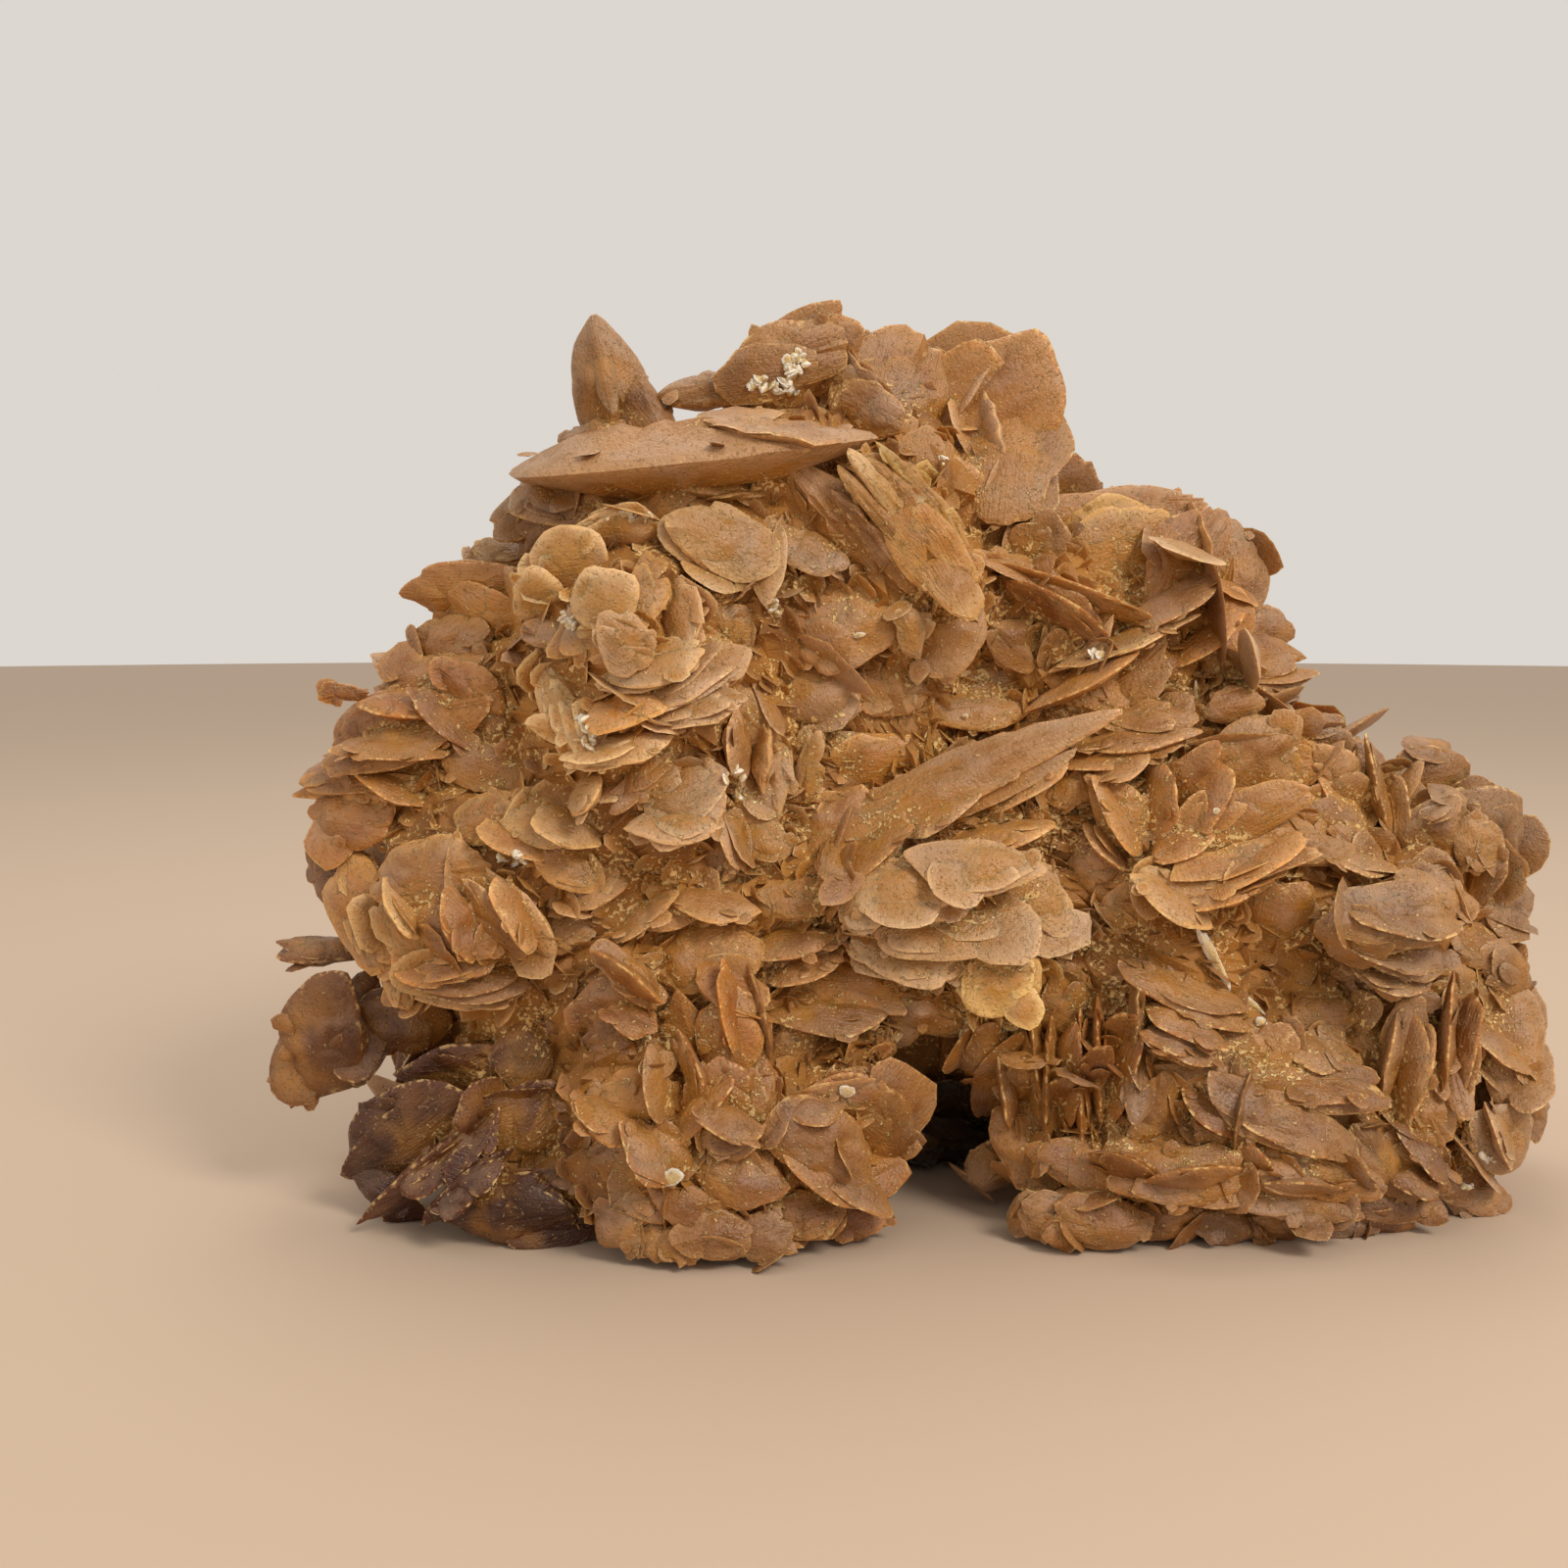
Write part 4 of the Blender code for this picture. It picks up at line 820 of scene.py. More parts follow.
OVAL = (
    (-87.4, 24.4, -7, 11.2, 8, 4.2, 72, 4, -10, "b"), (-87, 37.2, -2, 8.4, 3.4, 3.4, 2, 64, 0, "b"),
    (-82.4, 25.6, -4, 9.6, 5.2, 3.6, 80, 0, 24, "b"), (-75, 26.4, -3, 7.2, 5.4, 4, -30, 10, 20, "b"),
    (-92, 19, -4, 6.6, 4, 3, -70, 0, -24, "b"),
)

cluster("oval", OVAL, (0.44, 0.3, 0.13), dict(dust=0.25, stripes=0.4, crust=0.25, rough=0.36), ragged=0.5)

# ---------------------------------------------------------------------------------------------
# Dark fan: broad blades at the lower left, seen through wet-looking brown faces with pale ridges.
# Dark brown gypsum darkened further with painted shade, the glossiest part of the rose.
# ---------------------------------------------------------------------------------------------

DARK_FAN = (
    (-75.4, 8.8, -11, 13.4, 8.8, 4.4, 38, -10, -14, "k"), (-70.6, 5, -16, 14.4, 4.4, 3, 38, -52, 0, "k"),
    (-80, 1.4, -10, 7, 4, 3.4, -38, 0, -20, "k"), (-60, -2.4, -20, 11.2, 6.4, 4.4, 14, -6, -6, "k"),
    (-66, 1.4, -20, 10.2, 3.6, 2.8, 44, -52, 0, "k"), (-57.6, 11, -15, 9.6, 7.6, 4.2, 30, -8, 6, "k"),
    (-65.6, 19.6, -8, 10.4, 5.6, 4.2, 10, -30, -6, "k"), (-57, 22, -10, 6.4, 5, 3.6, 60, 0, 14, "k"),
    (-55.6, -5, -19, 8.8, 4.4, 3.6, -4, 8, 8, "k"), (-71.5, 22, 9, 7.4, 5, 4.2, 62, 24, 10, "b"),
    (-70, 28.5, 8, 6.8, 4.4, 3.6, 20, 40, 0, "k"),
)

# The shade darkens the dark brown tone further as painted shade.
cluster(
    "dark_fan", DARK_FAN, (0.33, 0.15, 0.045), dict(dust=0.08, stripes=1.0, crust=0.3, rough=0.26),
    crossing=1, tilt=(20, 60),
)

# ---------------------------------------------------------------------------------------------
# Left foot: a tall bunch of rounded blades on a heap of small disks, left of the arch.
# Honey and amber gypsum; the lowest disks stand on the table.
# ---------------------------------------------------------------------------------------------

FOOT_LEFT = (
    (-44.2, 28.2, -18, 7.6, 6, 3.4, 20, -6, -10, "o"), (-42, 33.6, -19, 7.4, 3.4, 2.8, -42, 34, 0, "h"),
    (-44.4, 22.6, -20, 4.8, 4.2, 2.4, 0, 0, -14, "o"), (-43, 14.4, -24, 7.8, 5.2, 3, 4, 16, -8, "a"),
    (-38, 16.6, -24, 6.6, 2.6, 2.4, -74, 0, 26, "g"), (-42.8, 4.8, -24, 7.8, 5.4, 3.2, -14, 14, -14, "p"),
    (-37.4, 5.8, -27, 5.4, 4.4, 2.4, -40, 14, 0, "o"), (-27, 24, -19, 8.8, 6, 3.6, 88, -8, 6, "a"),
    (-33.6, 24, -17, 8.8, 4.2, 3.2, 96, 0, -20, "o"), (-29, 14, -22, 9.4, 5.4, 3.6, 78, -6, -14, "o"),
    (-23.4, 14, -21, 8.4, 4.4, 3.4, 92, 0, 22, "o"), (-27.2, 8.6, -26, 5.8, 3.4, 2.2, -8, 30, 0, "p"),
    (-26.4, 2.6, -26, 8.2, 4.8, 3, -20, 22, 0, "o"), (-14, 7.4, -24, 9.6, 6.6, 3.8, -36, 12, 4, "h"),
    (-4, 9.2, -16, 11.4, 5.6, 3.8, -66, 0, 34, "h"), (-8.6, 15, -20, 8, 6, 3.4, -20, -20, 14, "h"),
    (-6.4, 2.4, -18, 8.6, 4.6, 3.2, 10, 34, 14, "o"), (-17.6, 25, -12, 7, 4.4, 4, 84, 0, 26, "p"),
    (-44, -4.8, -26, 4.8, 4.2, 2.2, -10, 10, -10, "h"), (-39, -7.6, -27, 3.8, 3, 2, 0, 16, 0, "p"),
    (-35, -7.8, -28, 3.8, 3.2, 2, 10, 16, 0, "h"), (-41, -1.8, -26, 4.4, 3.2, 2.2, 0, 20, -6, "p"),
    (-29, -6.4, -28, 6.4, 4.4, 3, -10, 24, 0, "p"), (-22.6, -6.8, -27, 5.8, 3.8, 2.6, 14, 24, 6, "p"),
    (-14.6, -3.6, -23, 6.2, 3.8, 2.6, 14, 24, 8, "h"), (-8.6, -3.6, -19, 5, 3.4, 2.4, -20, 24, 10, "o"),
    (-33, -2, -27, 6.6, 4.2, 2.8, -24, 24, 0, "o"),
)

cluster(
    "foot_left", FOOT_LEFT, (0.68, 0.54, 0.34), dict(dust=0.3, stripes=0.5, crust=0.4),
    crossing=2, tilt=(25, 70),
)

# ---------------------------------------------------------------------------------------------
# Middle: the flat dusty plateau, the long diagonal blade and the amber blades round it.
# Greyish pink gypsum above, sugary orange-brown blades below.
# ---------------------------------------------------------------------------------------------

MIDDLE = (
    (-6, 65.6, -3, 9, 5.4, 3.2, 0, -6, 6, "a"), (6.4, 62.2, -8, 27, 4.6, 5, 25, 34, 0, "p"),
    (-11.6, 54.6, -7, 8.8, 5.8, 3.4, 42, 16, 0, "o"), (-10.8, 51, -11, 9.2, 3.4, 2.6, 79, 0, 66, "o"),
    (-4, 54.2, -9, 9.6, 4.2, 3.2, 46, 24, 10, "g"), (8.6, 52.6, -8, 8.8, 3.8, 3, 10, 46, 0, "h"),
    (8.4, 72.4, 0, 10, 4.2, 3.4, 3, 44, 6, "a"), (10.6, 77.2, 4, 9, 4.4, 3.4, -4, 20, 6, "a"),
    (-10, 84.8, -5, 10.2, 7.4, 4.2, 12, 10, -4, "p"), (4.6, 84.2, -3, 9, 6, 4, 78, 6, 10, "p"),
    (-0.6, 84.2, -8, 4.4, 2.4, 1.8, -68, 6, 10, "l"), (-14, 75, -3, 8, 5.4, 4.4, 0, 10, 0, "g"),
    (-4, 76, -1, 7, 5.4, 4.4, 20, 10, 0, "g"), (-24.4, 72, -9, 7.4, 4.6, 3.6, -56, 10, 10, "p"),
    (-20, 65, -6, 7.4, 3, 3.4, 92, 0, 20, "l"), (-15.4, 63.6, -5, 7, 2.2, 3, 88, 0, -10, "l"),
    (-17, 44.6, -11, 6.6, 3.8, 3, 0, 30, 0, "a"), (-16, 37.2, -10, 8.2, 3.4, 2.6, 26, 50, 0, "o"),
    (-9.6, 32.4, -8, 11, 4.6, 4.4, -2, 20, 0, "a"), (-30.6, 36.4, -14, 9, 6.4, 5, 10, 20, 0, "a"),
    (-36.4, 43.4, -13, 9.4, 4.2, 3.6, 12, 44, 0, "h"), (-27.8, 52.6, -9, 6.8, 3.6, 3.6, 82, 0, 12, "g"),
    (-21.6, 53.4, -9, 4.4, 3.4, 2.6, -20, 16, 0, "l"), (-23.4, 59, -7, 6, 3.8, 3.4, 30, 16, 0, "p"),
    (1, 29, -7, 9, 5, 5, -12, 20, 0, "a"),
)

cluster(
    "middle", MIDDLE, (0.9, 0.86, 0.78), dict(dust=0.5, stripes=0.5, crust=0.6),
    crossing=1, tilt=(20, 60),
)

# ---------------------------------------------------------------------------------------------
# Shingles: thin light tan blades laid like roof tiles above the arch, with scalloped lower edges.
# Matt gypsum, the palest of the front.
# ---------------------------------------------------------------------------------------------

SHINGLES = (
    (0.6, 36.6, -12, 10.6, 5.2, 3, -4, 30, 0, "l"), (4.6, 40.2, -14, 14.4, 6, 3, 2, 34, 0, "l"),
    (-7.2, 44, -16, 5, 4.4, 2.4, 20, 26, -10, "l"), (1, 46, -16, 11.6, 5.8, 2.8, 0, 34, 0, "l"),
    (8.8, 49.4, -17, 11.4, 5, 2.8, -4, 36, 0, "l"), (13.6, 32.8, -14, 6.4, 6, 3.2, 30, 10, 8, "y"),
    (18, 44, -11, 5.4, 7, 3.4, 20, 10, 20, "l"),
)

cluster(
    "shingles", SHINGLES, (1.08, 1.05, 1.04), dict(dust=0.5, stripes=0.3, crust=0.35),
    crossing=1, tilt=(5, 12),
)

# ---------------------------------------------------------------------------------------------
# Right shoulder: the broad plate right of the fan, its outer lobes and the toothed edge below.
# Honey gypsum with amber hollows and thin blades seen on edge.
# ---------------------------------------------------------------------------------------------

TOP_RIGHT = (
    (30.6, 100.6, 13, 13.4, 5.6, 4, 4, 14, 6, "p"), (27.6, 96.2, 9, 12.4, 7.4, 4, 8, 2, 4, "y"),
    (38.6, 93.8, 6, 10.8, 5.6, 3.4, 54, 0, 16, "o"), (45.6, 93, 13, 9.2, 6, 3.8, 84, 0, 22, "p"),
    (51, 84.4, 13, 5.6, 4.6, 3, 0, 0, 24, "p"), (44.6, 84.6, 6, 8, 4.6, 3.6, 70, 4, 18, "a"),
    (49.2, 81.6, 8, 8, 3.6, 2.4, 4, 36, 16, "a"), (49.8, 79.2, 6, 8.2, 3.4, 2, 16, 52, 10, "o"),
    (50.4, 77, 5, 8.4, 3.4, 2, 20, 60, 10, "p"), (51.6, 73.6, 5, 6.6, 3.4, 2.4, -12, 30, 20, "p"),
    (20.6, 90.2, 1, 13, 3.6, 3.2, -26, 42, 0, "h"), (20.6, 87.4, -1, 9, 3.8, 2.8, -28, -30, 0, "o"),
    (39, 89, 1, 7, 2.4, 2, 38, 40, 0, "p"), (26, 80.2, -2, 7.2, 2.4, 2.2, 67, 50, 0, "l"),
    (14.6, 82.6, 0, 5.6, 3.6, 2.6, -45, 0, 14, "p"), (21.2, 81.6, 0, 4.6, 2.8, 2.2, -62, 0, 24, "p"),
    (31.6, 76.4, 1, 8.4, 3.6, 3, 52, 20, 0, "g"), (35.6, 78, 3, 6.6, 4.8, 3.6, 30, 0, 8, "b"),
    (34.4, 71.4, -3, 7.8, 3.4, 2.6, 8, 40, 0, "p"), (46.6, 73.2, -1, 5, 3.2, 3, 12, 10, 10, "p"),
    (17.8, 96, 6, 6, 5, 3.6, 80, 0, -16, "p"), (25.6, 75.4, 0, 8, 3.6, 3, -14, 16, 0, "h"),
)

cluster(
    "top_right", TOP_RIGHT, (0.74, 0.62, 0.42), dict(dust=0.35, stripes=0.7, crust=0.35),
    crossing=1, tilt=(20, 70),
)

# ---------------------------------------------------------------------------------------------
# Right fan: long blades that spread from one root right of the middle, and the upright spike.
# Pinkish beige gypsum, dark in the slots between the blades.
# ---------------------------------------------------------------------------------------------

RIGHT_FAN = (
    (48.6, 62.6, -3, 14.2, 6.8, 4, 48, -8, -4, "p"), (39.6, 60.6, -6, 10.4, 3.8, 3, 60, 0, -20, "o"),
    (30.6, 57.6, -8, 8, 4.2, 3.2, -54, 0, -8, "h"), (46.6, 56.4, -9, 13.2, 4.6, 3.2, 22, 16, 0, "h"),
    (63.4, 60, 1, 11, 5, 3.6, -54, 0, 24, "p"), (57, 62, -1, 7.6, 5, 3.2, -62, 0, 10, "a"),
    (48.4, 49.6, -13, 13.6, 3.8, 2.8, 17, 42, 0, "h"), (56, 53.4, -8, 12, 4.4, 3.2, -4, 44, 8, "p"),
    (37.6, 46.4, -13, 5.4, 3.4, 2.4, -36, 0, -6, "l"), (31.4, 44, -9, 4.4, 3.8, 3, 20, 0, 0, "g"),
    (27.4, 51.6, -6, 5.4, 4.4, 4, 0, 20, 0, "p"), (54.8, 43.2, -9, 6, 4.8, 3, 80, 0, -14, "o"),
    (60, 57, -3, 7, 4, 3, -20, 20, 10, "b"), (61.6, 67.6, 6, 4, 3, 2.4, -30, 0, 10, "p"),
    (24.4, 62, -5, 6.4, 3.4, 3.2, 24, 30, 0, "p"),
)

cluster(
    "right_fan", RIGHT_FAN, (0.86, 0.77, 0.58), dict(dust=0.4, stripes=0.6, crust=0.4),
    crossing=2, tilt=(25, 70),
)

# ---------------------------------------------------------------------------------------------
# Right rosettes: the round rose at the upper right and the tongue-shaped plates under it.
# Gypsum, pale on the faces turned up.
# ---------------------------------------------------------------------------------------------

RIGHT_ROSETTE = (
    (75.4, 62.6, 5, 7.8, 5.8, 3.6, -4, 0, 10, "o"), (83, 55, 5, 10.2, 7.4, 4.2, -48, 0, 22, "p"),
    (86, 44.4, 2, 7.8, 5.8, 4, 80, 0, 30, "p"), (67, 64, 3, 5.6, 1.9, 2, 92, 0, 40, "o"),
    (70.4, 59, 2, 7.4, 4.4, 3.4, -74, 0, -14, "h"), (77.6, 55.6, -3, 6, 5.2, 3, 40, 0, -8, "p"),
    (82.6, 53, -5, 5.2, 3.4, 2.4, 88, 0, 14, "p"), (76.8, 47.4, -9, 3.6, 3, 2.2, 0, 10, 0, "p"),
    (70.4, 42.4, -16, 9.8, 5.4, 3.4, -10, 22, -4, "h"), (73.6, 36.2, -13, 8.2, 4.4, 2.6, -12, 44, 0, "p"),
    (77, 45.2, -12, 8.6, 4.2, 2.8, -12, 40, 6, "h"), (66, 50.6, -4, 9, 4.4, 3.4, -40, 16, 10, "h"),
    (64.6, 34.6, -4, 7.6, 3.8, 3.4, -6, -10, 0, "k"), (84, 37.6, -3, 7.4, 4.2, 3.4, -14, 30, 16, "p"),
)

cluster(
    "right_rosette", RIGHT_ROSETTE, (0.6, 0.53, 0.4), dict(dust=0.4, stripes=0.5, crust=0.35),
    crossing=2, tilt=(25, 75),
)

# ---------------------------------------------------------------------------------------------
# Right side: thick blades that round off the right end.
# Greyish gypsum with clear glinting points near the table.
# ---------------------------------------------------------------------------------------------

RIGHT_SIDE = (
    (90, 23.2, -5, 10, 6.6, 4.2, 80, 0, 22, "p"), (88.4, 33.4, -3, 7, 4.2, 3.4, -36, 14, 22, "p"),
    (92, 14.4, -2, 7.2, 4.8, 3.6, 70, 0, 36, "b"), (88, 8.6, -9, 7.4, 6, 4, 20, 6, 20, "g"),
    (84.6, 0.4, -8, 8, 4.8, 3.6, -14, 16, 16, "b"), (80.4, 20.6, -10, 10.8, 3.4, 2.8, 93, 0, 44, "o"),
    (76.6, 15, -12, 9.4, 4.4, 3.2, -70, 0, -20, "h"), (73.6, 24.6, -10, 8.2, 4, 3.2, 80, 0, -14, "p"),
    (68.6, 25.6, -6, 6.6, 3.6, 3.2, 88, 0, 20, "h"), (62.4, 22.4, -12, 5.4, 3, 2.4, -32, 40, 0, "p"),
    (61, 27.4, -8, 7, 4, 4, 4, 30, 0, "h"), (82, 30.4, -5, 6.6, 4, 3.2, -40, 10, 10, "p"),
)

cluster(
    "right_side", RIGHT_SIDE, (0.76, 0.71, 0.62), dict(dust=0.4, stripes=0.5, crust=0.45),
    crossing=2, tilt=(30, 75),
)

# ---------------------------------------------------------------------------------------------
# Block: the mass right of the arch, with upright blades on its left and long level ones below.
# Honey gypsum; pale worn edges above, a fringe of pointed stars along the table.
# ---------------------------------------------------------------------------------------------

BLOCK = (
    (12, 19, -7, 11.4, 4.6, 3.6, 97, 0, -34, "o"), (16.6, 16.6, -10, 12.2, 3.6, 3, 94, 0, -50, "h"),
    (22.4, 28.4, -9, 7.8, 4.6, 3.6, 82, -6, -8, "p"), (22, 15, -13, 11.6, 3.4, 2.8, 82, 0, -56, "h"),
    (26.6, 17.4, -14, 13.2, 3.4, 2.8, 86, 0, -50, "o"), (30.6, 23, -13, 13.2, 3.6, 3, 84, 0, -54, "h"),
    (34.4, 23, -14, 13.6, 3.8, 3.2, 76, 0, 40, "p"), (36.6, 12, -18, 8, 3.8, 2.8, 86, 0, -10, "h"),
    (11.6, 3.6, -7, 5.6, 4.2, 3.2, 64, 0, -26, "p"), (17.4, 6.4, -13, 8.4, 4.8, 3.2, -60, 8, -16, "o"),
    (43.4, 28.6, -13, 9.8, 4.2, 3.2, -35, 14, 0, "p"), (40.6, 22.8, -17, 6.6, 3.4, 2.6, -16, 34, 0, "a"),
    (42, 18.6, -17, 6.4, 3.2, 2.6, -10, 34, 0, "h"), (50, 21.6, -15, 8.4, 4.8, 3.2, 24, 10, 0, "p"),
    (58.6, 16.4, -17, 13.6, 4.6, 3.2, -9, 36, 0, "h"), (55.6, 11.2, -21, 14.6, 5.2, 3.2, -18, 30, 4, "p"),
    (61.6, 3.4, -21, 12, 5.2, 3.2, -16, 24, 4, "h"), (57.6, -1.4, -22, 12.4, 4, 2.8, -8, 34, 0, "p"),
    (40.8, 2.2, -23, 11.4, 5, 3, 3, 28, 0, "h"), (45.4, 7.6, -20, 6.6, 3.8, 3, 58, 0, -10, "o"),
    (33, 3.6, -20, 5.6, 4.4, 2.8, -40, 10, -10, "h"), (25.6, 4.6, -18, 7.6, 5, 3.6, -12, 20, -6, "h"),
    (70.6, 4.4, -17, 8.4, 3.8, 2.8, -48, 10, 10, "p"), (76.6, 4.6, -14, 8, 4.6, 3, -40, 14, 12, "b"),
    (72, -1.6, -16, 7.4, 3.8, 3, -6, 28, 6, "b"), (29, -4.2, -22, 8.2, 4.8, 3.4, -4, 16, 0, "h"),
    (20.6, -4, -20, 5.2, 4.2, 2.8, -20, 14, -14, "p"), (23.6, -6, -22, 3.6, 3, 2, 0, 10, 0, "o"),
    (39, -4.4, -20, 6, 3.6, 3.4, 20, 16, 0, "b"), (47, -4.2, -19, 6.2, 3.4, 3.2, -12, 20, 0, "b"),
    (55, -4.4, -18, 6.8, 3.2, 3, 2, 22, 0, "b"), (64, -4.2, -16, 7, 3.2, 3, -4, 22, 0, "b"),
)

cluster(
    "block", BLOCK, (0.53, 0.41, 0.24), dict(dust=0.35, stripes=0.6, crust=0.4),
    crossing=2, tilt=(30, 75),
)

# ---------------------------------------------------------------------------------------------
# Core: the grown-together mass that all blades root in, a sugary golden crust seen in the gaps.
# Gypsum and sand, one lump from the front faces to the dome of the back, on rough feet.
# ---------------------------------------------------------------------------------------------

BODY_MIDDLE = np.array([3.0, 56.0])
BODY_OUTLINE = np.array([
    (88, 22), (85, 38), (84, 52), (72, 61), (58, 65), (46, 82), (38, 97), (18, 99), (12, 112), (-4, 119),
    (-24, 115), (-42, 107), (-50, 93), (-66, 81), (-80, 66), (-79, 48), (-76, 34), (-76, 14), (-66, -2),
    (-40, -4), (-20, -3), (-10, 3), (-6, 16), (-3, 26), (4, 30), (10.5, 27), (14.5, 16), (19, 3),
    (34, -3), (60, -3), (82, 0),
], float)
# The arch between the feet is closed at the back: outline points nearer the middle and lower.
ARCH_REACH = 24.0
ARCH_TOP = 31.0
# Set-back of the face behind the blades and of its rim, softening of the depth (square mm).
BODY_SET_BACK = 0.6
RIM_SET_BACK = 9.0
SMOOTHING = 6.0
BACK_DEPTH = 58.0
BACK_DROP = 44.0
BODY_LOWEST = 4.0
BODY_AROUND = 260
# Rings of the front and the back: number, and shares of the outline from first to last.
FRONT_RINGS = 30
FRONT_SHARES = (0.03, 0.97)
BACK_RINGS = 26
BACK_SHARES = (0.98, 0.04)
BODY_ROUGHNESS = 0.55
BODY_TINT = (0.24, 0.105, 0.03)
# Feet under the mass: centre and half sizes (mm).
FEET = np.array([
    (-56, -2, 8, 11, 11, 10), (-26, -10, 8, 12, 11, 10), (34, -6, 8, 12, 11, 10),
    (66, 2, 8, 12, 11, 10), (-34, 38, 8, 13, 11, 10), (46, 40, 8, 13, 11, 10),
], float)
FOOT_AROUND = 28
FOOT_RINGS = 14
FOOT_SWELL = (0.93, 1.05)
# Painted shade in the arch: middle and reach across, top, nearest depth, fade (per mm), least tone.
ARCH_SHADE_MIDDLE = 2.0
ARCH_SHADE_REACH = 16.0
ARCH_SHADE_TOP = 27.0
ARCH_SHADE_FROM = 3.0
ARCH_SHADE_FADE = 0.15
ARCH_SHADE_TONE = 0.01

places = np.concatenate([blades["place"] for blades in grown])
place_tints = np.concatenate([blades["tint"] for blades in grown])


def tint_near(spot):
    """Tone of the front blade that is nearest to each place of the front view."""
    return place_tints[((spot[:, None] - places[None, :, :2]) ** 2).sum(-1).argmin(1)]


def outline_at(way_round):
    """Points of the outline after shares of its length, found by straight steps between corners."""
    ends = np.vstack([BODY_OUTLINE, BODY_OUTLINE[:1]])
    along = np.concatenate([[0.0], np.cumsum(np.hypot(*np.diff(ends, axis=0).T))])
    left = (np.asarray(way_round) % 1.0) * along[-1]
    return np.stack([np.interp(left, along, ends[:, 0]), np.interp(left, along, ends[:, 1])], axis=-1)


def front_depth(spot):
    """Depth of the mass behind a place of the front view: mean depth of the blades, each weighted
    by one over the square of (squared distance + softening)."""
    apart = ((spot[..., None, :] - places[:, :2]) ** 2).sum(-1)
    weight = 1.0 / (apart + SMOOTHING) ** 2
    return (weight * places[:, 2]).sum(-1) / weight.sum(-1)


def front_place(way_round, share, set_back):
    """Point of the front of the mass and its place in the front view: outline drawn to the middle
    by a share, at its depth."""
    spot = BODY_MIDDLE + (outline_at(way_round) - BODY_MIDDLE) * np.asarray(share)[..., None]
    return pushed(spot[..., 0], spot[..., 1], front_depth(spot) + set_back)[0], spot


def back_place(way_round, share):
    """Point of the back: outline drawn to the middle by a share, depth falling with share^4."""
    spot = outline_at(way_round)
    in_arch = (np.abs(spot[..., 0]) < ARCH_REACH) & (spot[..., 1] < ARCH_TOP)
    spot[..., 1] = np.where(in_arch, 0.0, spot[..., 1])
    share = np.asarray(share)
    spot = BODY_MIDDLE + (spot - BODY_MIDDLE) * share[..., None]
    depth = BACK_DEPTH - BACK_DROP * share**4 + 0 * spot[..., 0]
    return np.stack([spot[..., 0], depth, np.maximum(spot[..., 1], BODY_LOWEST)], axis=-1)


def arch_shade_factor(points):
    """1 for points away from the arch between the feet, falling to the tone of the painted shade well inside
    it.
    """
    aside = np.abs(points[:, 0] - ARCH_SHADE_MIDDLE) - ARCH_SHADE_REACH
    away = np.maximum(aside, np.maximum(points[:, 2] - ARCH_SHADE_TOP, ARCH_SHADE_FROM - points[:, 1]))
    return np.clip(0.5 + ARCH_SHADE_FADE * away, ARCH_SHADE_TONE, 1.0)[:, None]


def tube_shell(rings, first, last):
    """Closed shell through rings of points (ring, place round it), with an end point each side."""
    count, around = rings.shape[:2]
    here = np.arange(around)
    after = (here + 1) % around
    rows = 1 + around * np.arange(count)[:, None]
    quads = np.stack([rows[:-1] + here, rows[:-1] + after, rows[1:] + after, rows[1:] + here], -1)
    end = 1 + around * count
    fans = np.concatenate([
        np.stack([0 * here, rows[0] + after, rows[0] + here], -1),
        np.stack([0 * here + end, rows[-1] + here, rows[-1] + after], -1),
    ])
    points = np.vstack([first, rings.reshape(-1, 3), last])
    return {
        "points": points,
        "quads": quads.reshape(-1, 4),
        "fans": fans,
        # The tint takes the painted shade under the arch.
        "tint": np.array(BODY_TINT) * arch_shade_factor(points),
        "share": np.full(len(points), 0.5),
        "local": points.copy(),
        "valley": np.zeros(len(points)),
    }


dice = np.random.default_rng(101)
round_body = np.arange(BODY_AROUND) / BODY_AROUND
front_shares = np.linspace(*FRONT_SHARES, FRONT_RINGS)
rings = [front_place(round_body, 0 * round_body + share, BODY_SET_BACK)[0] for share in front_shares]
rings.append(front_place(round_body, 0 * round_body + 1.0, RIM_SET_BACK)[0])
rings += [back_place(round_body, share) for share in np.linspace(*BACK_SHARES, BACK_RINGS)]
rings = np.array(rings)
rings += dice.normal(0.0, BODY_ROUGHNESS, rings.shape)
front_end = front_place(0.0, 0.0, BODY_SET_BACK)[0]
back_end = back_place(0.0, 0.0)
core_parts = [tube_shell(rings, front_end, back_end)]
fall = (np.arange(1, FOOT_RINGS + 1) * np.pi / (FOOT_RINGS + 1))[:, None]
turn = (np.arange(FOOT_AROUND) * 2 * np.pi / FOOT_AROUND)[None]
ball = np.stack([np.sin(fall) * np.cos(turn), -np.sin(fall) * np.sin(turn), np.cos(fall) + 0 * turn], -1)
for foot in FEET:
    swell = dice.uniform(*FOOT_SWELL, ball.shape[:2] + (1,))
    top = foot[:3] + foot[3:] * [0, 0, 1]
    bottom = foot[:3] - foot[3:] * [0, 0, 1]
    core_parts.append(tube_shell(foot[:3] + ball * foot[3:] * swell, top, bottom))
crust_finish = gypsum("sugary crust", dust=0.0, stripes=0.2, crust=0.8, glow=0.5, rough=0.5)
piece("core", core_parts, crust_finish, flat=True)

# ---------------------------------------------------------------------------------------------
# Crests: thin blades that stand on edge between the faces of the front, singly and in stacks.
# Gypsum of the same growth as its neighbours, its rims painted pale as a highlight and set with golden sugar
# and painted glints.
# ---------------------------------------------------------------------------------------------

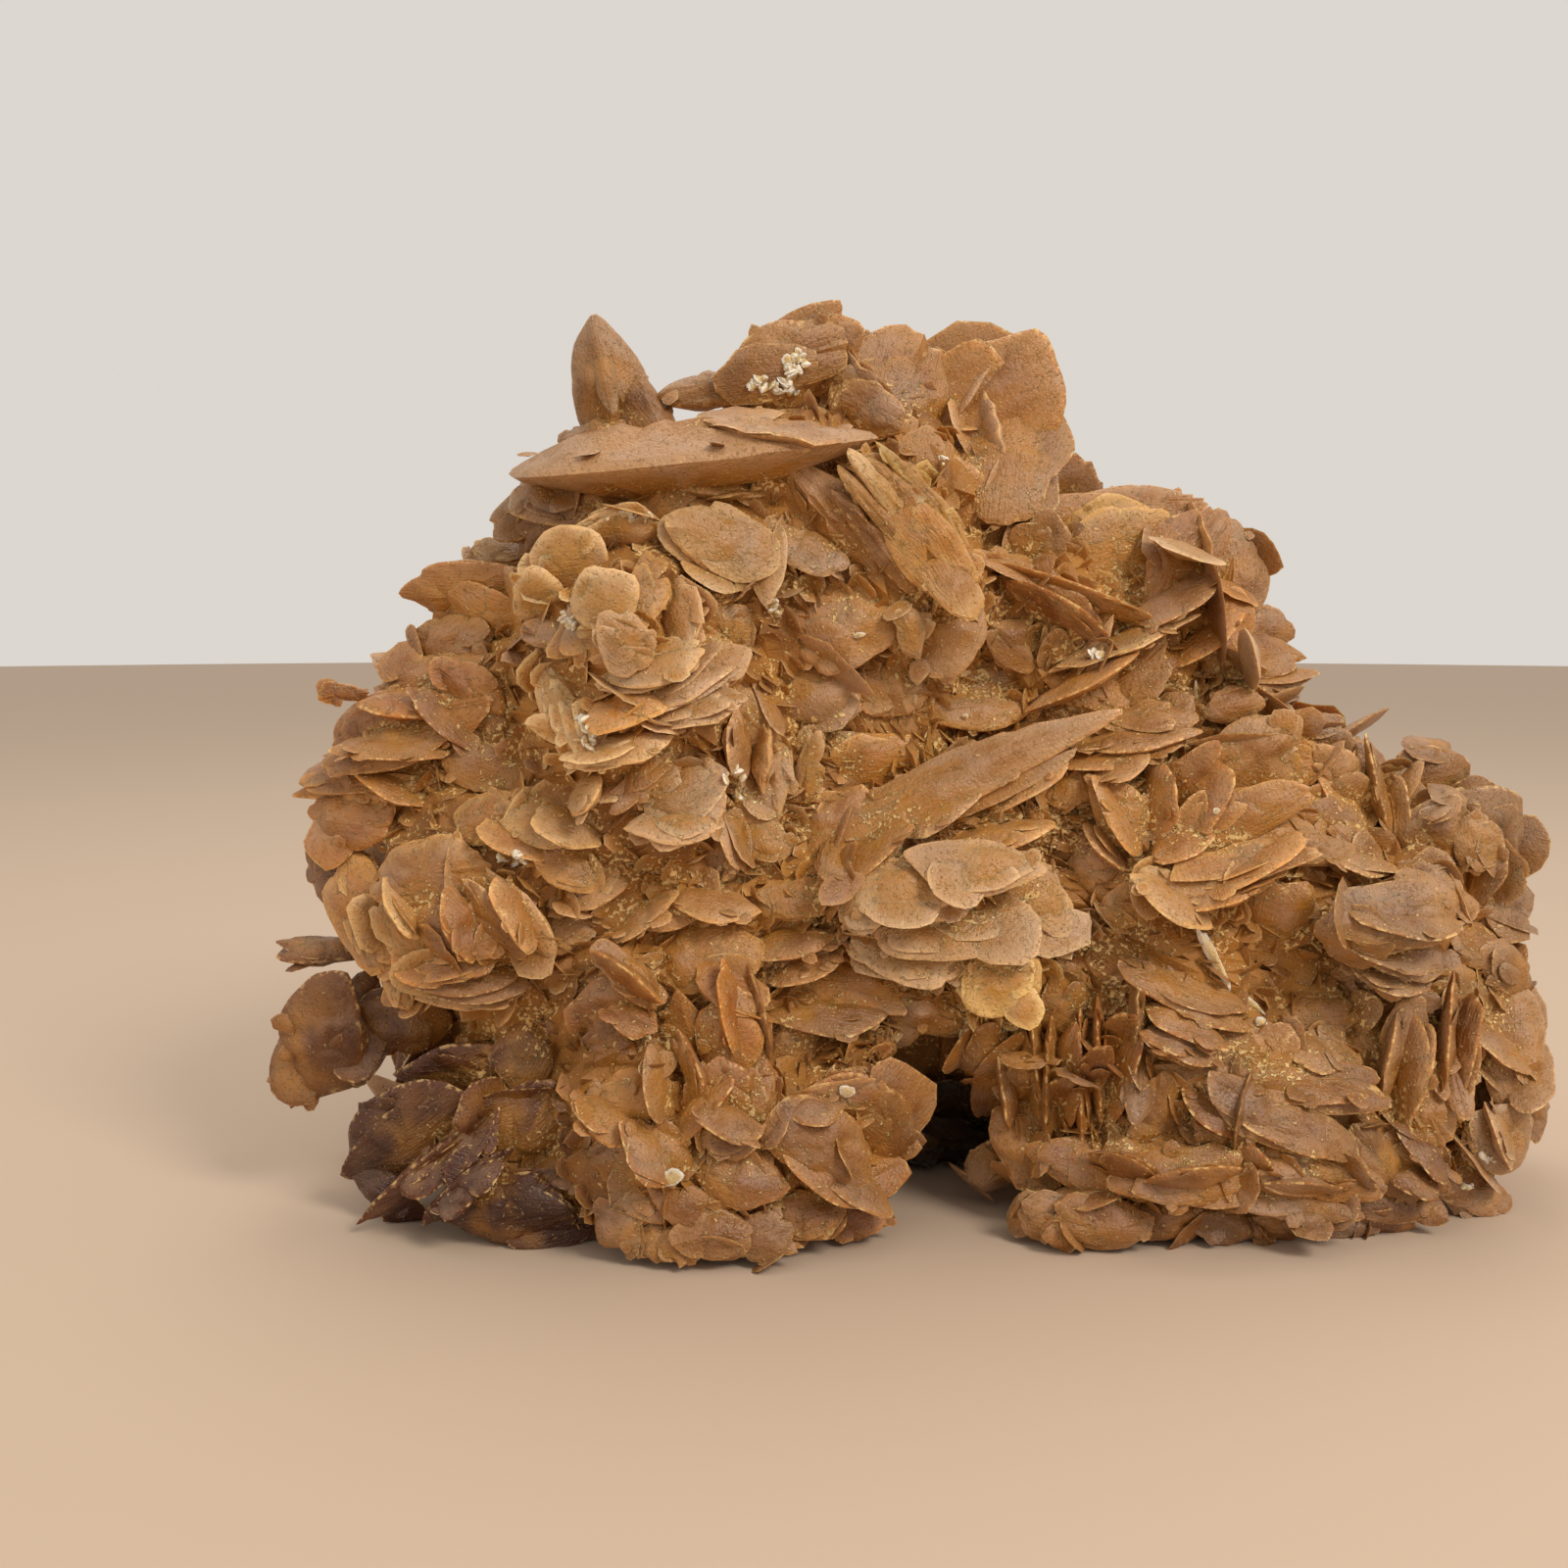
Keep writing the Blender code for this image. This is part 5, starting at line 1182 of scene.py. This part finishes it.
# Ends of each rim: across and up (mm), then half width (mm) and lean (degrees).
CRESTS = (
    (35.5, 51.5, 44.5, 55.5, 4.5, 66), (42, 47, 57, 53, 5, 74), (40.5, 45, 51, 46.8, 4, 70),
    (34, 52, 26.5, 62, 4.5, -60), (31, 49, 25.5, 57, 4, -68), (35, 54, 36.5, 66, 4.5, 62),
    (38, 52, 46, 64, 5, 58), (57.5, 68, 70, 50, 6, 60), (66.5, 67.5, 70.5, 52, 4, 72),
    (70, 63, 71.5, 51, 4, -70), (55, 53.5, 70, 50, 5, 70), (66, 44.5, 79.5, 40.5, 5, 60),
    (62, 38.5, 79, 36.5, 5.5, 56), (65, 35.5, 76, 32.5, 5, 64), (33, 48.5, 43.5, 41.5, 4, 58),
    (31.5, 36, 48, 25.5, 5, 60), (35, 24.5, 45.5, 21, 4.5, 70), (36, 28, 46, 23.5, 4, 66),
    (13, 24, 16.5, 7, 5.5, 74), (16, 27, 18.5, 10, 6, -76), (19, 27.5, 19.2, 13, 5, 78),
    (21.5, 25, 20, 6, 6, 74), (24, 26, 23.5, 9, 5, -76), (26.5, 25, 25, 5, 6, 76),
    (29, 28, 27.5, 12, 5.5, 74), (31.5, 26, 29.5, 9, 5.5, -74), (33.8, 34, 33.2, 19, 5, 76),
    (40, 15.6, 52, 9.8, 5, 62), (50, 11.5, 65, 8, 5.5, 66), (56, 23.5, 63.5, 20.3, 3.5, 58),
    (48, 18, 69, 15.2, 5, 68), (28, 6.5, 38, 0.8, 4.5, -50), (37, 0.8, 48.5, 3.8, 4.5, -52),
    (49, 8, 53, 2.6, 4, -56), (52, 2.8, 65, -0.6, 4.5, -54), (63.5, 6.5, 69, 0.4, 4, -60),
    (72, 28, 71, 12, 4.5, 70), (76.5, 26, 74, 10, 4.5, -72), (79.5, 30, 80, 14, 4.5, 74),
    (83.5, 31, 81.5, 15, 4, -70), (82.5, 27, 93, 19, 5, 64), (86, 14, 91, 4, 4, 66), (73, 9, 82, 3, 4, 60),
    (72, 3.6, 80, 0.6, 3.5, 58), (74, 56, 79, 61.5, 3.5, 66), (82, 44, 86.5, 53, 4, 68),
    (20, 64, 40, 69, 5, 70), (24.5, 66.5, 40.5, 70.2, 4, 76), (7, 57, 24, 67, 5, 66),
    (3, 52, 20, 56, 4.5, 72), (26, 63, 35, 66, 3.5, 64), (12, 95, 36, 84, 4, -66), (14, 91, 30, 82, 4, -70),
    (32, 84, 44, 92.5, 4, 66), (21, 78, 41, 88, 4, 68), (18, 74, 33, 81, 4, 72), (36, 78, 47, 88, 4, 64),
    (-46.5, 36.5, -38, 30, 4, -62), (-45, 27.5, -38.5, 25.5, 3.5, 60), (-39, 22, -36.6, 11, 4.5, 68),
    (-34, 24, -31, 12, 4, -66), (-49, 13.5, -41, 9.5, 4, 58), (-42, 10, -35, 2.4, 4.5, 60),
    (-31.5, 12.5, -23.5, 9, 3.5, 62), (-36, 9, -27, 17.5, 4, 64), (-20, 8, -5, -1, 5, 58),
    (-18.5, 13.5, -11, 12.6, 3.5, 66), (-10, 13, -6, 2, 4, 70), (-21, 32.5, -10.5, 38, 4.5, 62),
    (-20, 27, -5, 27.6, 4.5, 60), (-24.5, 36, -11, 40.5, 4, 66), (-43.5, 39.5, -35, 46, 4, 64),
    (-36, 45, -23, 43.5, 4, 60), (-13.5, 47, -1, 55.5, 4.5, 66), (-12.5, 43, -9, 53, 4, 70),
    (-1.5, 54.5, 9, 60.5, 4, 68), (-28, 34, -26, 22, 4, 70), (-24, 33, -21, 20, 4, -68),
    (-76, 0.6, -69.5, 4.8, 4, 52), (-70, 4.6, -62, 12.4, 4, 54), (-67, 0.6, -61.5, 5.2, 3.5, 56),
    (-70.5, -3, -65.5, 1, 3, 56), (-61, 47, -56, 37.5, 4, 66), (-69, 45, -64, 36, 4, 64),
    (-77.5, 47, -72, 39, 4, 66), (-63, 55.5, -55, 51.5, 3.5, 60), (-55, 58, -46.5, 53, 4, 58),
    (-50.5, 58, -45.5, 63, 3.5, 64), (-76, 36, -66, 33, 4, 56), (-73, 76, -62, 65.5, 4, 62),
    (-82, 63.5, -70, 60, 4.5, 68), (-85, 68, -66, 67, 4.5, 72), (-80, 73, -64, 74, 4, 70),
    (-26.5, 73, -25, 62, 4, 72), (-22.5, 73, -21.5, 61, 4, -72), (-28.5, 58, -24.5, 49, 4, 70),
)
CREST_SET_BACK = -5.6
CREST_LENGTH = 0.58  # half length in lengths of the rim
CREST_THICKNESS = (1.8, 2.8)
CREST_TURN = 8.0
CREST_LIGHTER = 1.12
CREST_RAGGED = 0.6
CREST_SPACING = 5.0

dice = np.random.default_rng(106)
crests = np.array(CRESTS)
spot = 0.5 * (crests[:, :2] + crests[:, 2:4])
run = crests[:, 2:4] - crests[:, :2]
half_width, lean = crests[:, 4], crests[:, 5]
set_back = CREST_SET_BACK + half_width * np.sin(np.radians(np.abs(lean)))
spin = np.degrees(np.arctan2(run[:, 1], run[:, 0]))
half_length = CREST_LENGTH * np.hypot(*run.T)
on_edge = {
    "centre": pushed(spot[:, 0], spot[:, 1], front_depth(spot) + set_back)[0],
    "axes": blade_axes(spin, lean, dice.uniform(-CREST_TURN, CREST_TURN, len(run))),
    "size": np.stack([half_length, half_width, dice.uniform(*CREST_THICKNESS, len(run))], -1),
    "tint": tint_near(spot) * CREST_LIGHTER,
}
# Strong painted highlight and glints along the rims.
crest_finish = gypsum("crest gypsum", dust=0.3, stripes=0.7, crust=0.6, rim=0.9)
piece("crests", [
    *leaf_shells(leaves(on_edge, dice, (0, 1)), dice, CREST_RAGGED),
    flakes(rim_flakes(on_edge, dice, CREST_SPACING), dice),
], crest_finish)

# ---------------------------------------------------------------------------------------------
# Back and ends: large blades that stand out of the dome, and the smaller ones between them.
# Gypsum like the front, dustier, because this side lay in the sand it grew in.
# ---------------------------------------------------------------------------------------------

# For each ring of the back: share of the outline and number of blades.
BACK_BLADES = ((1.0, 26), (0.96, 20), (0.88, 18), (0.75, 16), (0.55, 11), (0.3, 6), (0.1, 2))
BACK_BLADE_LENGTH = 15.0
RIM_BLADE_LENGTH = 10.5
# Step along the ring (in even steps), tilt off the outward line (degrees), length in lengths,
# width in half lengths and thickness (mm).
BACK_STEP = (0.0, 0.6)
BACK_TILT = (12.0, 68.0)
BACK_LENGTH = (0.8, 1.15)
BACK_WIDTH = (0.6, 0.85)
BACK_THICKNESS = (3.0, 4.4)
BACK_SEED = 7
# Draws that the solid takes before the back's: three for each of 42 points of a foot, and one
# for each blade of the front. The back blades then stand where the solid has them.
DRAWS_BEFORE = len(FEET) * 42 * 3 + 204
BACK_TONES = "hpgoblh"
BACK_SPACING = 3.8
# Small blades all over the back, and more of them round the ends: share of the outline, half
# length (mm), width in half lengths, thickness (mm) and tilt (degrees).
SHORT_RINGS = ((0.62, 0.66), (0.9, 0.3), (1.0, 0.0))
SHORT_AROUND = 13
SMALL_BACK_BLADES = 480
END_BLADES = 760
END_SHARES = (0.84, 1.02)
SHORT_LENGTH = (3.5, 8.0)
SHORT_WIDTH = (0.55, 0.85)
SHORT_THICKNESS = (1.4, 2.6)
SHORT_TILT = (15, 80)
# From this share of the outline on, over the span, the end blades reach forward to the front
# ones, except near the arch.
END_FROM = 0.91
END_SPAN = 0.11
END_DEPTH = 12.0
END_CLEAR = ARCH_REACH + 8.0


def standing(centre, middle, tilt, spin):
    """Axes of blades on the dome: the face axis leans off the outward line by the tilt, on the
    side given by the spin, and the long axis is the outward line laid into the blade's plane."""
    out = centre - middle
    out /= np.linalg.norm(out, axis=-1, keepdims=True)
    side = np.cross(out, [0.0, 0.0, 1.0])
    side /= np.linalg.norm(side, axis=-1, keepdims=True)
    rise = np.cross(side, out)
    tilt, spin = tilt[:, None], spin[:, None]
    face = out * np.cos(tilt) + (side * np.cos(spin) + rise * np.sin(spin)) * np.sin(tilt)
    long_axis = out - face * (face * out).sum(-1, keepdims=True)
    long_axis /= np.linalg.norm(long_axis, axis=-1, keepdims=True)
    return np.stack([long_axis, np.cross(face, long_axis), face], axis=1)


def tones(letters, count, dice):
    """Random tones out of the letters, each made a little lighter or darker."""
    shades = np.array([TONES[letter] for letter in letters])
    return varied(shades[dice.integers(0, len(shades), count)], BACK_SWING, dice)


middle = np.array([BODY_MIDDLE[0], BACK_DEPTH - BACK_DROP, BODY_MIDDLE[1]])
draws = random.Random(BACK_SEED)
for _ in range(DRAWS_BEFORE):
    draws.random()
rows = []
for share, count in BACK_BLADES:
    for index in range(count):
        place = (index + draws.uniform(*BACK_STEP)) / count
        tilt, spin = draws.uniform(*BACK_TILT), draws.uniform(0.0, 2.0 * math.pi)
        length = (RIM_BLADE_LENGTH if share == 1.0 else BACK_BLADE_LENGTH) * draws.uniform(*BACK_LENGTH)
        width, thickness = length * draws.uniform(*BACK_WIDTH), draws.uniform(*BACK_THICKNESS)
        draws.random()
        rows.append((place, share, math.radians(tilt), spin, length, width, thickness))
rows = np.array(rows)
dice = np.random.default_rng(102)
centre = back_place(rows[:, 0], rows[:, 1])
blades = {
    "centre": centre,
    "axes": standing(centre, middle, rows[:, 2], rows[:, 3]),
    "size": rows[:, 4:7],
    # The tint takes the painted shade under the arch.
    "tint": tones(BACK_TONES, len(rows), dice) * arch_shade_factor(centre),
}
count = SMALL_BACK_BLADES + END_BLADES
shares = np.sqrt(dice.uniform(0.0, 1.0, count))
shares[SMALL_BACK_BLADES:] = dice.uniform(*END_SHARES, END_BLADES)
centre = back_place(dice.random(count), shares)
forward = np.clip((shares - END_FROM) / END_SPAN, 0.0, 1.0) * (np.arange(count) >= SMALL_BACK_BLADES)
centre[:, 1] -= END_DEPTH * forward * (np.abs(centre[:, 0]) > END_CLEAR)
length = dice.uniform(*SHORT_LENGTH, count)
tilt, spin = np.radians(dice.uniform(*SHORT_TILT, count)), dice.uniform(0, 6.28, count)
width, thickness = length * dice.uniform(*SHORT_WIDTH, count), dice.uniform(*SHORT_THICKNESS, count)
small = {
    "centre": centre,
    "axes": standing(centre, middle, tilt, spin),
    "size": np.stack([length, width, thickness], -1),
    # The tint takes the painted shade under the arch.
    "tint": tones(BACK_TONES, count, dice) * arch_shade_factor(centre),
}
plate = side_plates(blades, dice, 1)
back_finish = gypsum("dusty back", dust=0.55, stripes=0.6, crust=0.35)
piece("back_blades", [
    *leaf_shells(leaves(blades, dice, (1, 1)), dice),
    shells(plate, PLATE_RINGS, PLATE_AROUND, dice, 0.2, 0.03, PLATE_LOBE_COUNT),
    shells(petals(blades, dice, 3, (15, 60)), PETAL_RINGS, PETAL_AROUND, dice, 0.1, 0.05, PLATE_LOBE_COUNT),
], back_finish)
piece("small_back_blades", [
    shells(small, SHORT_RINGS, SHORT_AROUND, dice, 0.14, 0.04, PLATE_LOBE_COUNT),
    flakes(rim_flakes(blades, dice, BACK_SPACING), dice),
], back_finish)

# ---------------------------------------------------------------------------------------------
# Druse: small plates and points that fill the gaps of the front between the blades.
# Gypsum grown last, so sharp and clear, on edge and at every angle, in the tone of its neighbours.
# ---------------------------------------------------------------------------------------------

DRUSE_POINTS = 3200
DRUSE_RINGS = ((0.7, 0.55), (0.94, 0.2), (1.0, 0.0))
DRUSE_AROUND = 9
DRUSE_SET_BACK = BODY_SET_BACK + 0.6
DRUSE_REACH = 0.99  # share of the outline
# Half length (mm), width and thickness in half lengths, tilt (degrees) and tone.
DRUSE_LENGTH = (1.5, 3.9)
DRUSE_WIDTH = (0.5, 0.9)
DRUSE_THICKNESS = (0.14, 0.26)
DRUSE_TILT = (45, 88)
DRUSE_TONE = (0.7, 1.25)
# The points stand out from a place behind them (mm), drawn aside to the middle by a share.
DRUSE_BEHIND = 30.0
DRUSE_DRAWN = 0.3

dice = np.random.default_rng(103)
count = DRUSE_POINTS
way_round, share = dice.random(count), np.sqrt(dice.uniform(0, 1, count)) * DRUSE_REACH
centre, spot = front_place(way_round, share, DRUSE_SET_BACK)
length = dice.uniform(*DRUSE_LENGTH, count)
tilt, spin = np.radians(dice.uniform(*DRUSE_TILT, count)), dice.uniform(0, 6.28, count)
width, thickness = length * dice.uniform(*DRUSE_WIDTH, count), length * dice.uniform(*DRUSE_THICKNESS, count)
behind = centre + [0.0, DRUSE_BEHIND, 0.0] + DRUSE_DRAWN * (middle - centre)
druse = {
    "centre": centre,
    "axes": standing(centre, behind, tilt, spin),
    "size": np.stack([length, width, thickness], -1),
    # The tint takes the painted shade under the arch.
    "tint": tint_near(spot) * dice.uniform(*DRUSE_TONE, (count, 1)) * arch_shade_factor(centre),
}
druse_finish = gypsum("druse", dust=0.3, stripes=0.3, crust=0.6, rough=0.36)
piece("druse", [shells(druse, DRUSE_RINGS, DRUSE_AROUND, dice, 0.3, 0.0, FLAKE_LOBE_COUNT)], druse_finish)

# ---------------------------------------------------------------------------------------------
# Sugar: grains of clear gypsum in the deep places between the blades, where they glint gold.
# They settle where there is most stone round them, which is also where the material paints a glow.
# ---------------------------------------------------------------------------------------------

# Box (mm) of one-millimetre cells round the rose: lowest corner and number of cells.
CELLS_FROM = np.array([-100.0, -58.0, -4.0])
CELLS = np.array([200, 118, 142])
BLUR_REACH = 3  # cells on each side over which the filled share is averaged, twice
# Filled share at which the grains begin, and over which they reach their full number.
SUGAR_BEGINS = 0.5
SUGAR_SPAN = 0.3
SUGAR_SHARE = 0.5  # most grains for each feeler that ends in a place
SUGAR_SIZE = (0.14, 0.36)
SUGAR_SHAPE = [1.0, 0.8, 1.1]
SUGAR_PLAY = (0.7, 1.3)
SUGAR_SHIFT = 0.4
SUGAR_LIFT = 0.12
SUGAR_TINT = (0.72, 0.38, 0.10)
SUGAR_TONE = (0.45, 1.25)
GRAIN_RINGS = ((1.0, 0.0),)
GRAIN_AROUND = 4


def surface_tree(pieces):
    """Search tree over the triangles of the pieces (m)."""
    points, faces, first = [], [], 0
    for made in pieces:
        mesh = made.data
        mesh.calc_loop_triangles()
        corners = np.empty(3 * len(mesh.loop_triangles), np.int32)
        mesh.loop_triangles.foreach_get("vertices", corners)
        points.append(spots_of(mesh))
        faces.append(corners.reshape(-1, 3) + first)
        first += len(mesh.vertices)
    return BVHTree.FromPolygons(np.concatenate(points).tolist(), np.concatenate(faces).tolist())


def felt(tree, starts, ways):
    """First hits of feelers on the tree: points and normals, nan where they miss."""
    hits = np.full((len(starts), 6), np.nan)
    for index, (start, way) in enumerate(zip(starts, ways)):
        point, normal, _, _ = tree.ray_cast(Vector(start), Vector(way))
        if point is not None:
            hits[index] = (*point, *normal)
    return hits


def felt_along(tree, axis, sign):
    """Hits of one feeler per column of cells, sent along an axis from outside the box."""
    rest = [k for k in range(3) if k != axis]
    spots = np.meshgrid(*(CELLS_FROM[k] + 0.5 + np.arange(CELLS[k]) for k in rest), indexing="ij")
    outside = CELLS_FROM[axis] if sign > 0 else CELLS_FROM[axis] + CELLS[axis]
    starts = np.full(spots[0].shape + (3,), outside)
    starts[..., rest] = np.stack(spots, axis=-1)
    way = np.zeros(3)
    way[axis] = sign
    hits = felt(tree, starts.reshape(-1, 3) * MM, np.broadcast_to(way, (spots[0].size, 3)))
    return hits.reshape(spots[0].shape + (6,))


def filled_share(near, far):
    """Share of stone round each cell. A cell is stone where it lies between the first hits from
    both sides along all three axes; the share is a mean over a box of cells, taken twice."""
    volume = np.ones(CELLS, bool)
    for axis in range(3):
        level = (CELLS_FROM[axis] + 0.5 + np.arange(CELLS[axis])) * MM
        level = np.moveaxis(np.broadcast_to(level, (1, 1, CELLS[axis])), 2, axis)
        low = np.expand_dims(near[axis][..., axis], axis)
        high = np.expand_dims(far[axis][..., axis], axis)
        volume &= (low < level) & (level < high)
    volume = volume.astype(np.float32)
    for axis in (0, 1, 2, 0, 1, 2):
        volume = sum(np.roll(volume, step, axis) for step in range(-BLUR_REACH, BLUR_REACH + 1))
        volume /= 2 * BLUR_REACH + 1
    return volume


def at_cells(volume, points):
    """Value of the cell that holds each point (m)."""
    cell = np.clip((points / MM - CELLS_FROM).astype(int), 0, CELLS - 1)
    return volume[tuple(cell.T)]


dice = np.random.default_rng(104)
pieces = [made for made in bpy.data.objects if made.type == "MESH" and made.name != NODE]
tree = surface_tree(pieces)
near = [felt_along(tree, axis, 1) for axis in range(3)]
far = [felt_along(tree, axis, -1) for axis in range(3)]
stone = filled_share(near, far)
# All places that a feeler reaches, except from below.
deep = np.concatenate([hits.reshape(-1, 6) for hits in (near[0], near[1], *far)])
deep = deep[np.isfinite(deep[:, 0])]
likely = np.clip((at_cells(stone, deep[:, :3]) - SUGAR_BEGINS) / SUGAR_SPAN, 0.0, 1.0)
# No sugar in the painted shade under the arch.
outside_arch_shade = arch_shade_factor(deep[:, :3] / MM - SHIFT)[:, 0]
deep = deep[dice.random(len(deep)) < SUGAR_SHARE * outside_arch_shade * likely]
deep[:, :3] += dice.uniform(-SUGAR_SHIFT, SUGAR_SHIFT, (len(deep), 3)) * MM
count = len(deep)
size = dice.uniform(*SUGAR_SIZE, (count, 1)) * dice.uniform(*SUGAR_PLAY, (count, 3))
sugar = {
    "centre": deep[:, :3] / MM - SHIFT + deep[:, 3:6] * SUGAR_LIFT,
    "axes": blade_axes(*dice.uniform(0, 360, (3, count))),
    "size": size * SUGAR_SHAPE,
    "tint": np.array(SUGAR_TINT) * dice.uniform(*SUGAR_TONE, (count, 1)),
}
sugar_shells = shells(sugar, GRAIN_RINGS, GRAIN_AROUND, dice, 0.2, 0.0, (1, 2))
sugar_finish = gypsum("sugar", dust=0.0, stripes=0.0, crust=0.0, rough=0.22, rim=0.2)
pieces.append(piece("sugar", [sugar_shells], sugar_finish, flat=True))

# ---------------------------------------------------------------------------------------------
# Calcite: white crusts, chips and two pale straws that lie loose on the blades.
# Later growth than the gypsum, chalky and matt, caught on the crown and down the front.
# ---------------------------------------------------------------------------------------------

# Crusts: across, up, half length, half width (mm), spin (degrees) and number of grains.
CRUSTS = (
    (-17, 122.4, 1.9, 1.5, 20, 16), (-18, 119.4, 2.7, 1.3, 4, 20), (-22.8, 119.4, 1.9, 0.8, 0, 9),
    (4, 108.3, 1, 1, 0, 4), (-50, 86, 1.2, 1.9, 0, 10), (-48, 70, 1, 3, 20, 12), (-41, 100.5, 3.5, 0.7, 0, 9),
    (-59, 51, 2.1, 1, -20, 10), (-26, 62, 1.6, 2.4, 0, 10), (26, 81, 0.5, 1.6, 75, 4),
    (87, 5.5, 1, 0.8, 0, 5), (84, 1, 0.9, 0.7, 0, 4), (-20, 88, 2, 1.4, 0, 6),
)
# Chips and straws: across, up, half length, half width, thickness (mm) and spin (degrees).
CHIPS = (
    (-9.6, 15.9, 1.3, 1, 1.3, 4), (-8, 83.7, 1, 0.5, 0.8, 10), (-36, 2.5, 1.9, 1.3, 0.9, 10),
    (44.7, 36.2, 5.7, 0.95, 1.8, -61), (50.6, 29.2, 3, 0.55, 1, -42), (52, 26.5, 0.9, 0.9, 1.6, 0),
    (41, 75.5, 0.4, 2, 0.8, 0), (7.5, 72, 0.6, 0.4, 0.6, 0), (44.5, 58, 0.6, 0.5, 0.3, 0),
)
CALCITE_SIZE = (0.5, 1.25)
CALCITE_SHAPE = [1.0, 0.9, 1.3]
CALCITE_PLAY = (0.7, 1.2)
CALCITE_LIFT = 0.1
CALCITE_TONE = (0.85, 1.1)
CHIP_FORWARD = np.array([0.0, -0.4, 0.0])
CHIP_LEAN = 8.0
CHIP_TONE = (0.8, 0.95)

dice = np.random.default_rng(105)
eye = (np.array([EYE_ACROSS, -EYE_DISTANCE, EYE_UP]) + SHIFT) * MM


def on_front(across, up):
    """Point (mm) and normal where the line from the eye through a place first meets the rose."""
    ways = (pushed(across, up, 0 * across)[0] + SHIFT) * MM - eye
    hits = felt(tree, np.broadcast_to(eye, ways.shape), ways)
    return hits[:, :3] / MM - SHIFT, hits[:, 3:6]


crusts = np.array(CRUSTS)
pick = np.repeat(np.arange(len(crusts)), crusts[:, 5].astype(int))
count = len(pick)
way, reach = dice.uniform(0, 2 * np.pi, count), np.sqrt(dice.random(count))
along, aside = crusts[pick, 2] * reach * np.cos(way), crusts[pick, 3] * reach * np.sin(way)
spin = np.radians(crusts[pick, 4])
centre, normal = on_front(
    crusts[pick, 0] + along * np.cos(spin) - aside * np.sin(spin),
    crusts[pick, 1] + along * np.sin(spin) + aside * np.cos(spin),
)
size = dice.uniform(*CALCITE_SIZE, (count, 1)) * dice.uniform(*CALCITE_PLAY, (count, 3))
grains = {
    "centre": centre + CALCITE_LIFT * normal,
    "axes": blade_axes(*dice.uniform(0, 360, (3, count))),
    "size": size * CALCITE_SHAPE,
    "tint": np.array(TONES["w"]) * dice.uniform(*CALCITE_TONE, (count, 1)),
}
chips = np.array(CHIPS)
level = 0 * chips[:, 5]
solid = {
    "centre": on_front(chips[:, 0], chips[:, 1])[0] + CHIP_FORWARD,
    "axes": blade_axes(chips[:, 5], level + CHIP_LEAN, level),
    "size": chips[:, 2:5],
    "tint": np.array(TONES["w"]) * dice.uniform(*CHIP_TONE, (len(chips), 1)),
}
chalk = {"glow": 0.15, "rough": 0.55, "rim": 0.1, "amber": 0.0}
calcite_finish = gypsum("calcite", dust=0.15, stripes=0.1, crust=0.5, **chalk)
pieces.append(piece("calcite", [
    flakes(grains, dice, 0.25),
    shells(solid, PLATE_RINGS, PLATE_AROUND, dice, 0.12, 0.0, PLATE_LOBE_COUNT),
], calcite_finish))
for made in pieces:
    mark(made.data, "filled", at_cells(stone, spots_of(made.data)))

# ---------------------------------------------------------------------------------------------
# Studio: a plain pale floor, a pale surround, a soft key from the upper right, and the camera.
# ---------------------------------------------------------------------------------------------

FLOOR_RADIUS = 3.0
FLOOR_AROUND = 64
FLOOR_COLOUR = (0.56, 0.43, 0.32, 1.0)
FLOOR_ROUGHNESS = 0.8
SURROUND_COLOUR = (0.73, 0.69, 0.64, 1.0)
SURROUND_STRENGTH = 0.98
# Lamps: place, target and size (m), power (W) and colour.
LAMPS = {
    "key": ((0.42, -0.50, 0.62), (0.0, 0.0, 0.05), 0.30, 4.1, (1.0, 0.93, 0.84)),
    "top": ((-0.05, 0.25, 0.75), (0.0, 0.0, 0.05), 0.45, 1.4, (1.0, 0.96, 0.9)),
    "left": ((-0.6, -0.35, 0.3), (0.0, 0.0, 0.06), 0.5, 0.3, (1.0, 0.95, 0.9)),
}
LENS = 36.0
SENSOR = 36.0
NEAREST = 0.01
CAMERA_TILT = 84.0  # degrees up from looking straight down

way = np.arange(FLOOR_AROUND) * 2 * np.pi / FLOOR_AROUND
rim = np.stack([FLOOR_RADIUS * np.cos(way), FLOOR_RADIUS * np.sin(way), 0 * way], axis=-1)
mesh = bpy.data.meshes.new("floor")
mesh.from_pydata(rim.tolist(), [], [list(range(FLOOR_AROUND))])
floor = bpy.data.objects.new("floor", mesh)
bpy.context.scene.collection.objects.link(floor)
paper = bpy.data.materials.new("pale floor")
paper.use_nodes = True
shader = paper.node_tree.nodes["Principled BSDF"]
shader.inputs["Base Color"].default_value = FLOOR_COLOUR
shader.inputs["Roughness"].default_value = FLOOR_ROUGHNESS
mesh.materials.append(paper)

world = bpy.data.worlds.new("pale surround")
bpy.context.scene.world = world
world.use_nodes = True
sky = world.node_tree.nodes["Background"]
sky.inputs["Color"].default_value = SURROUND_COLOUR
sky.inputs["Strength"].default_value = SURROUND_STRENGTH

for name, (spot, target, size, power, shade) in LAMPS.items():
    lamp = bpy.data.lights.new(name, "AREA")
    lamp.shape = "DISK"
    lamp.size = size
    lamp.energy = power
    lamp.color = shade
    stand = bpy.data.objects.new(name, lamp)
    stand.location = spot
    stand.rotation_euler = (Vector(target) - Vector(spot)).to_track_quat("-Z", "Y").to_euler()
    bpy.context.scene.collection.objects.link(stand)

view = bpy.data.cameras.new("camera")
view.lens = LENS
view.sensor_width = SENSOR
view.clip_start = NEAREST
camera = bpy.data.objects.new("camera", view)
camera.location = eye
camera.rotation_euler = (math.radians(CAMERA_TILT), 0.0, 0.0)
bpy.context.scene.collection.objects.link(camera)
bpy.context.scene.camera = camera
bpy.context.scene.view_settings.view_transform = "Standard"
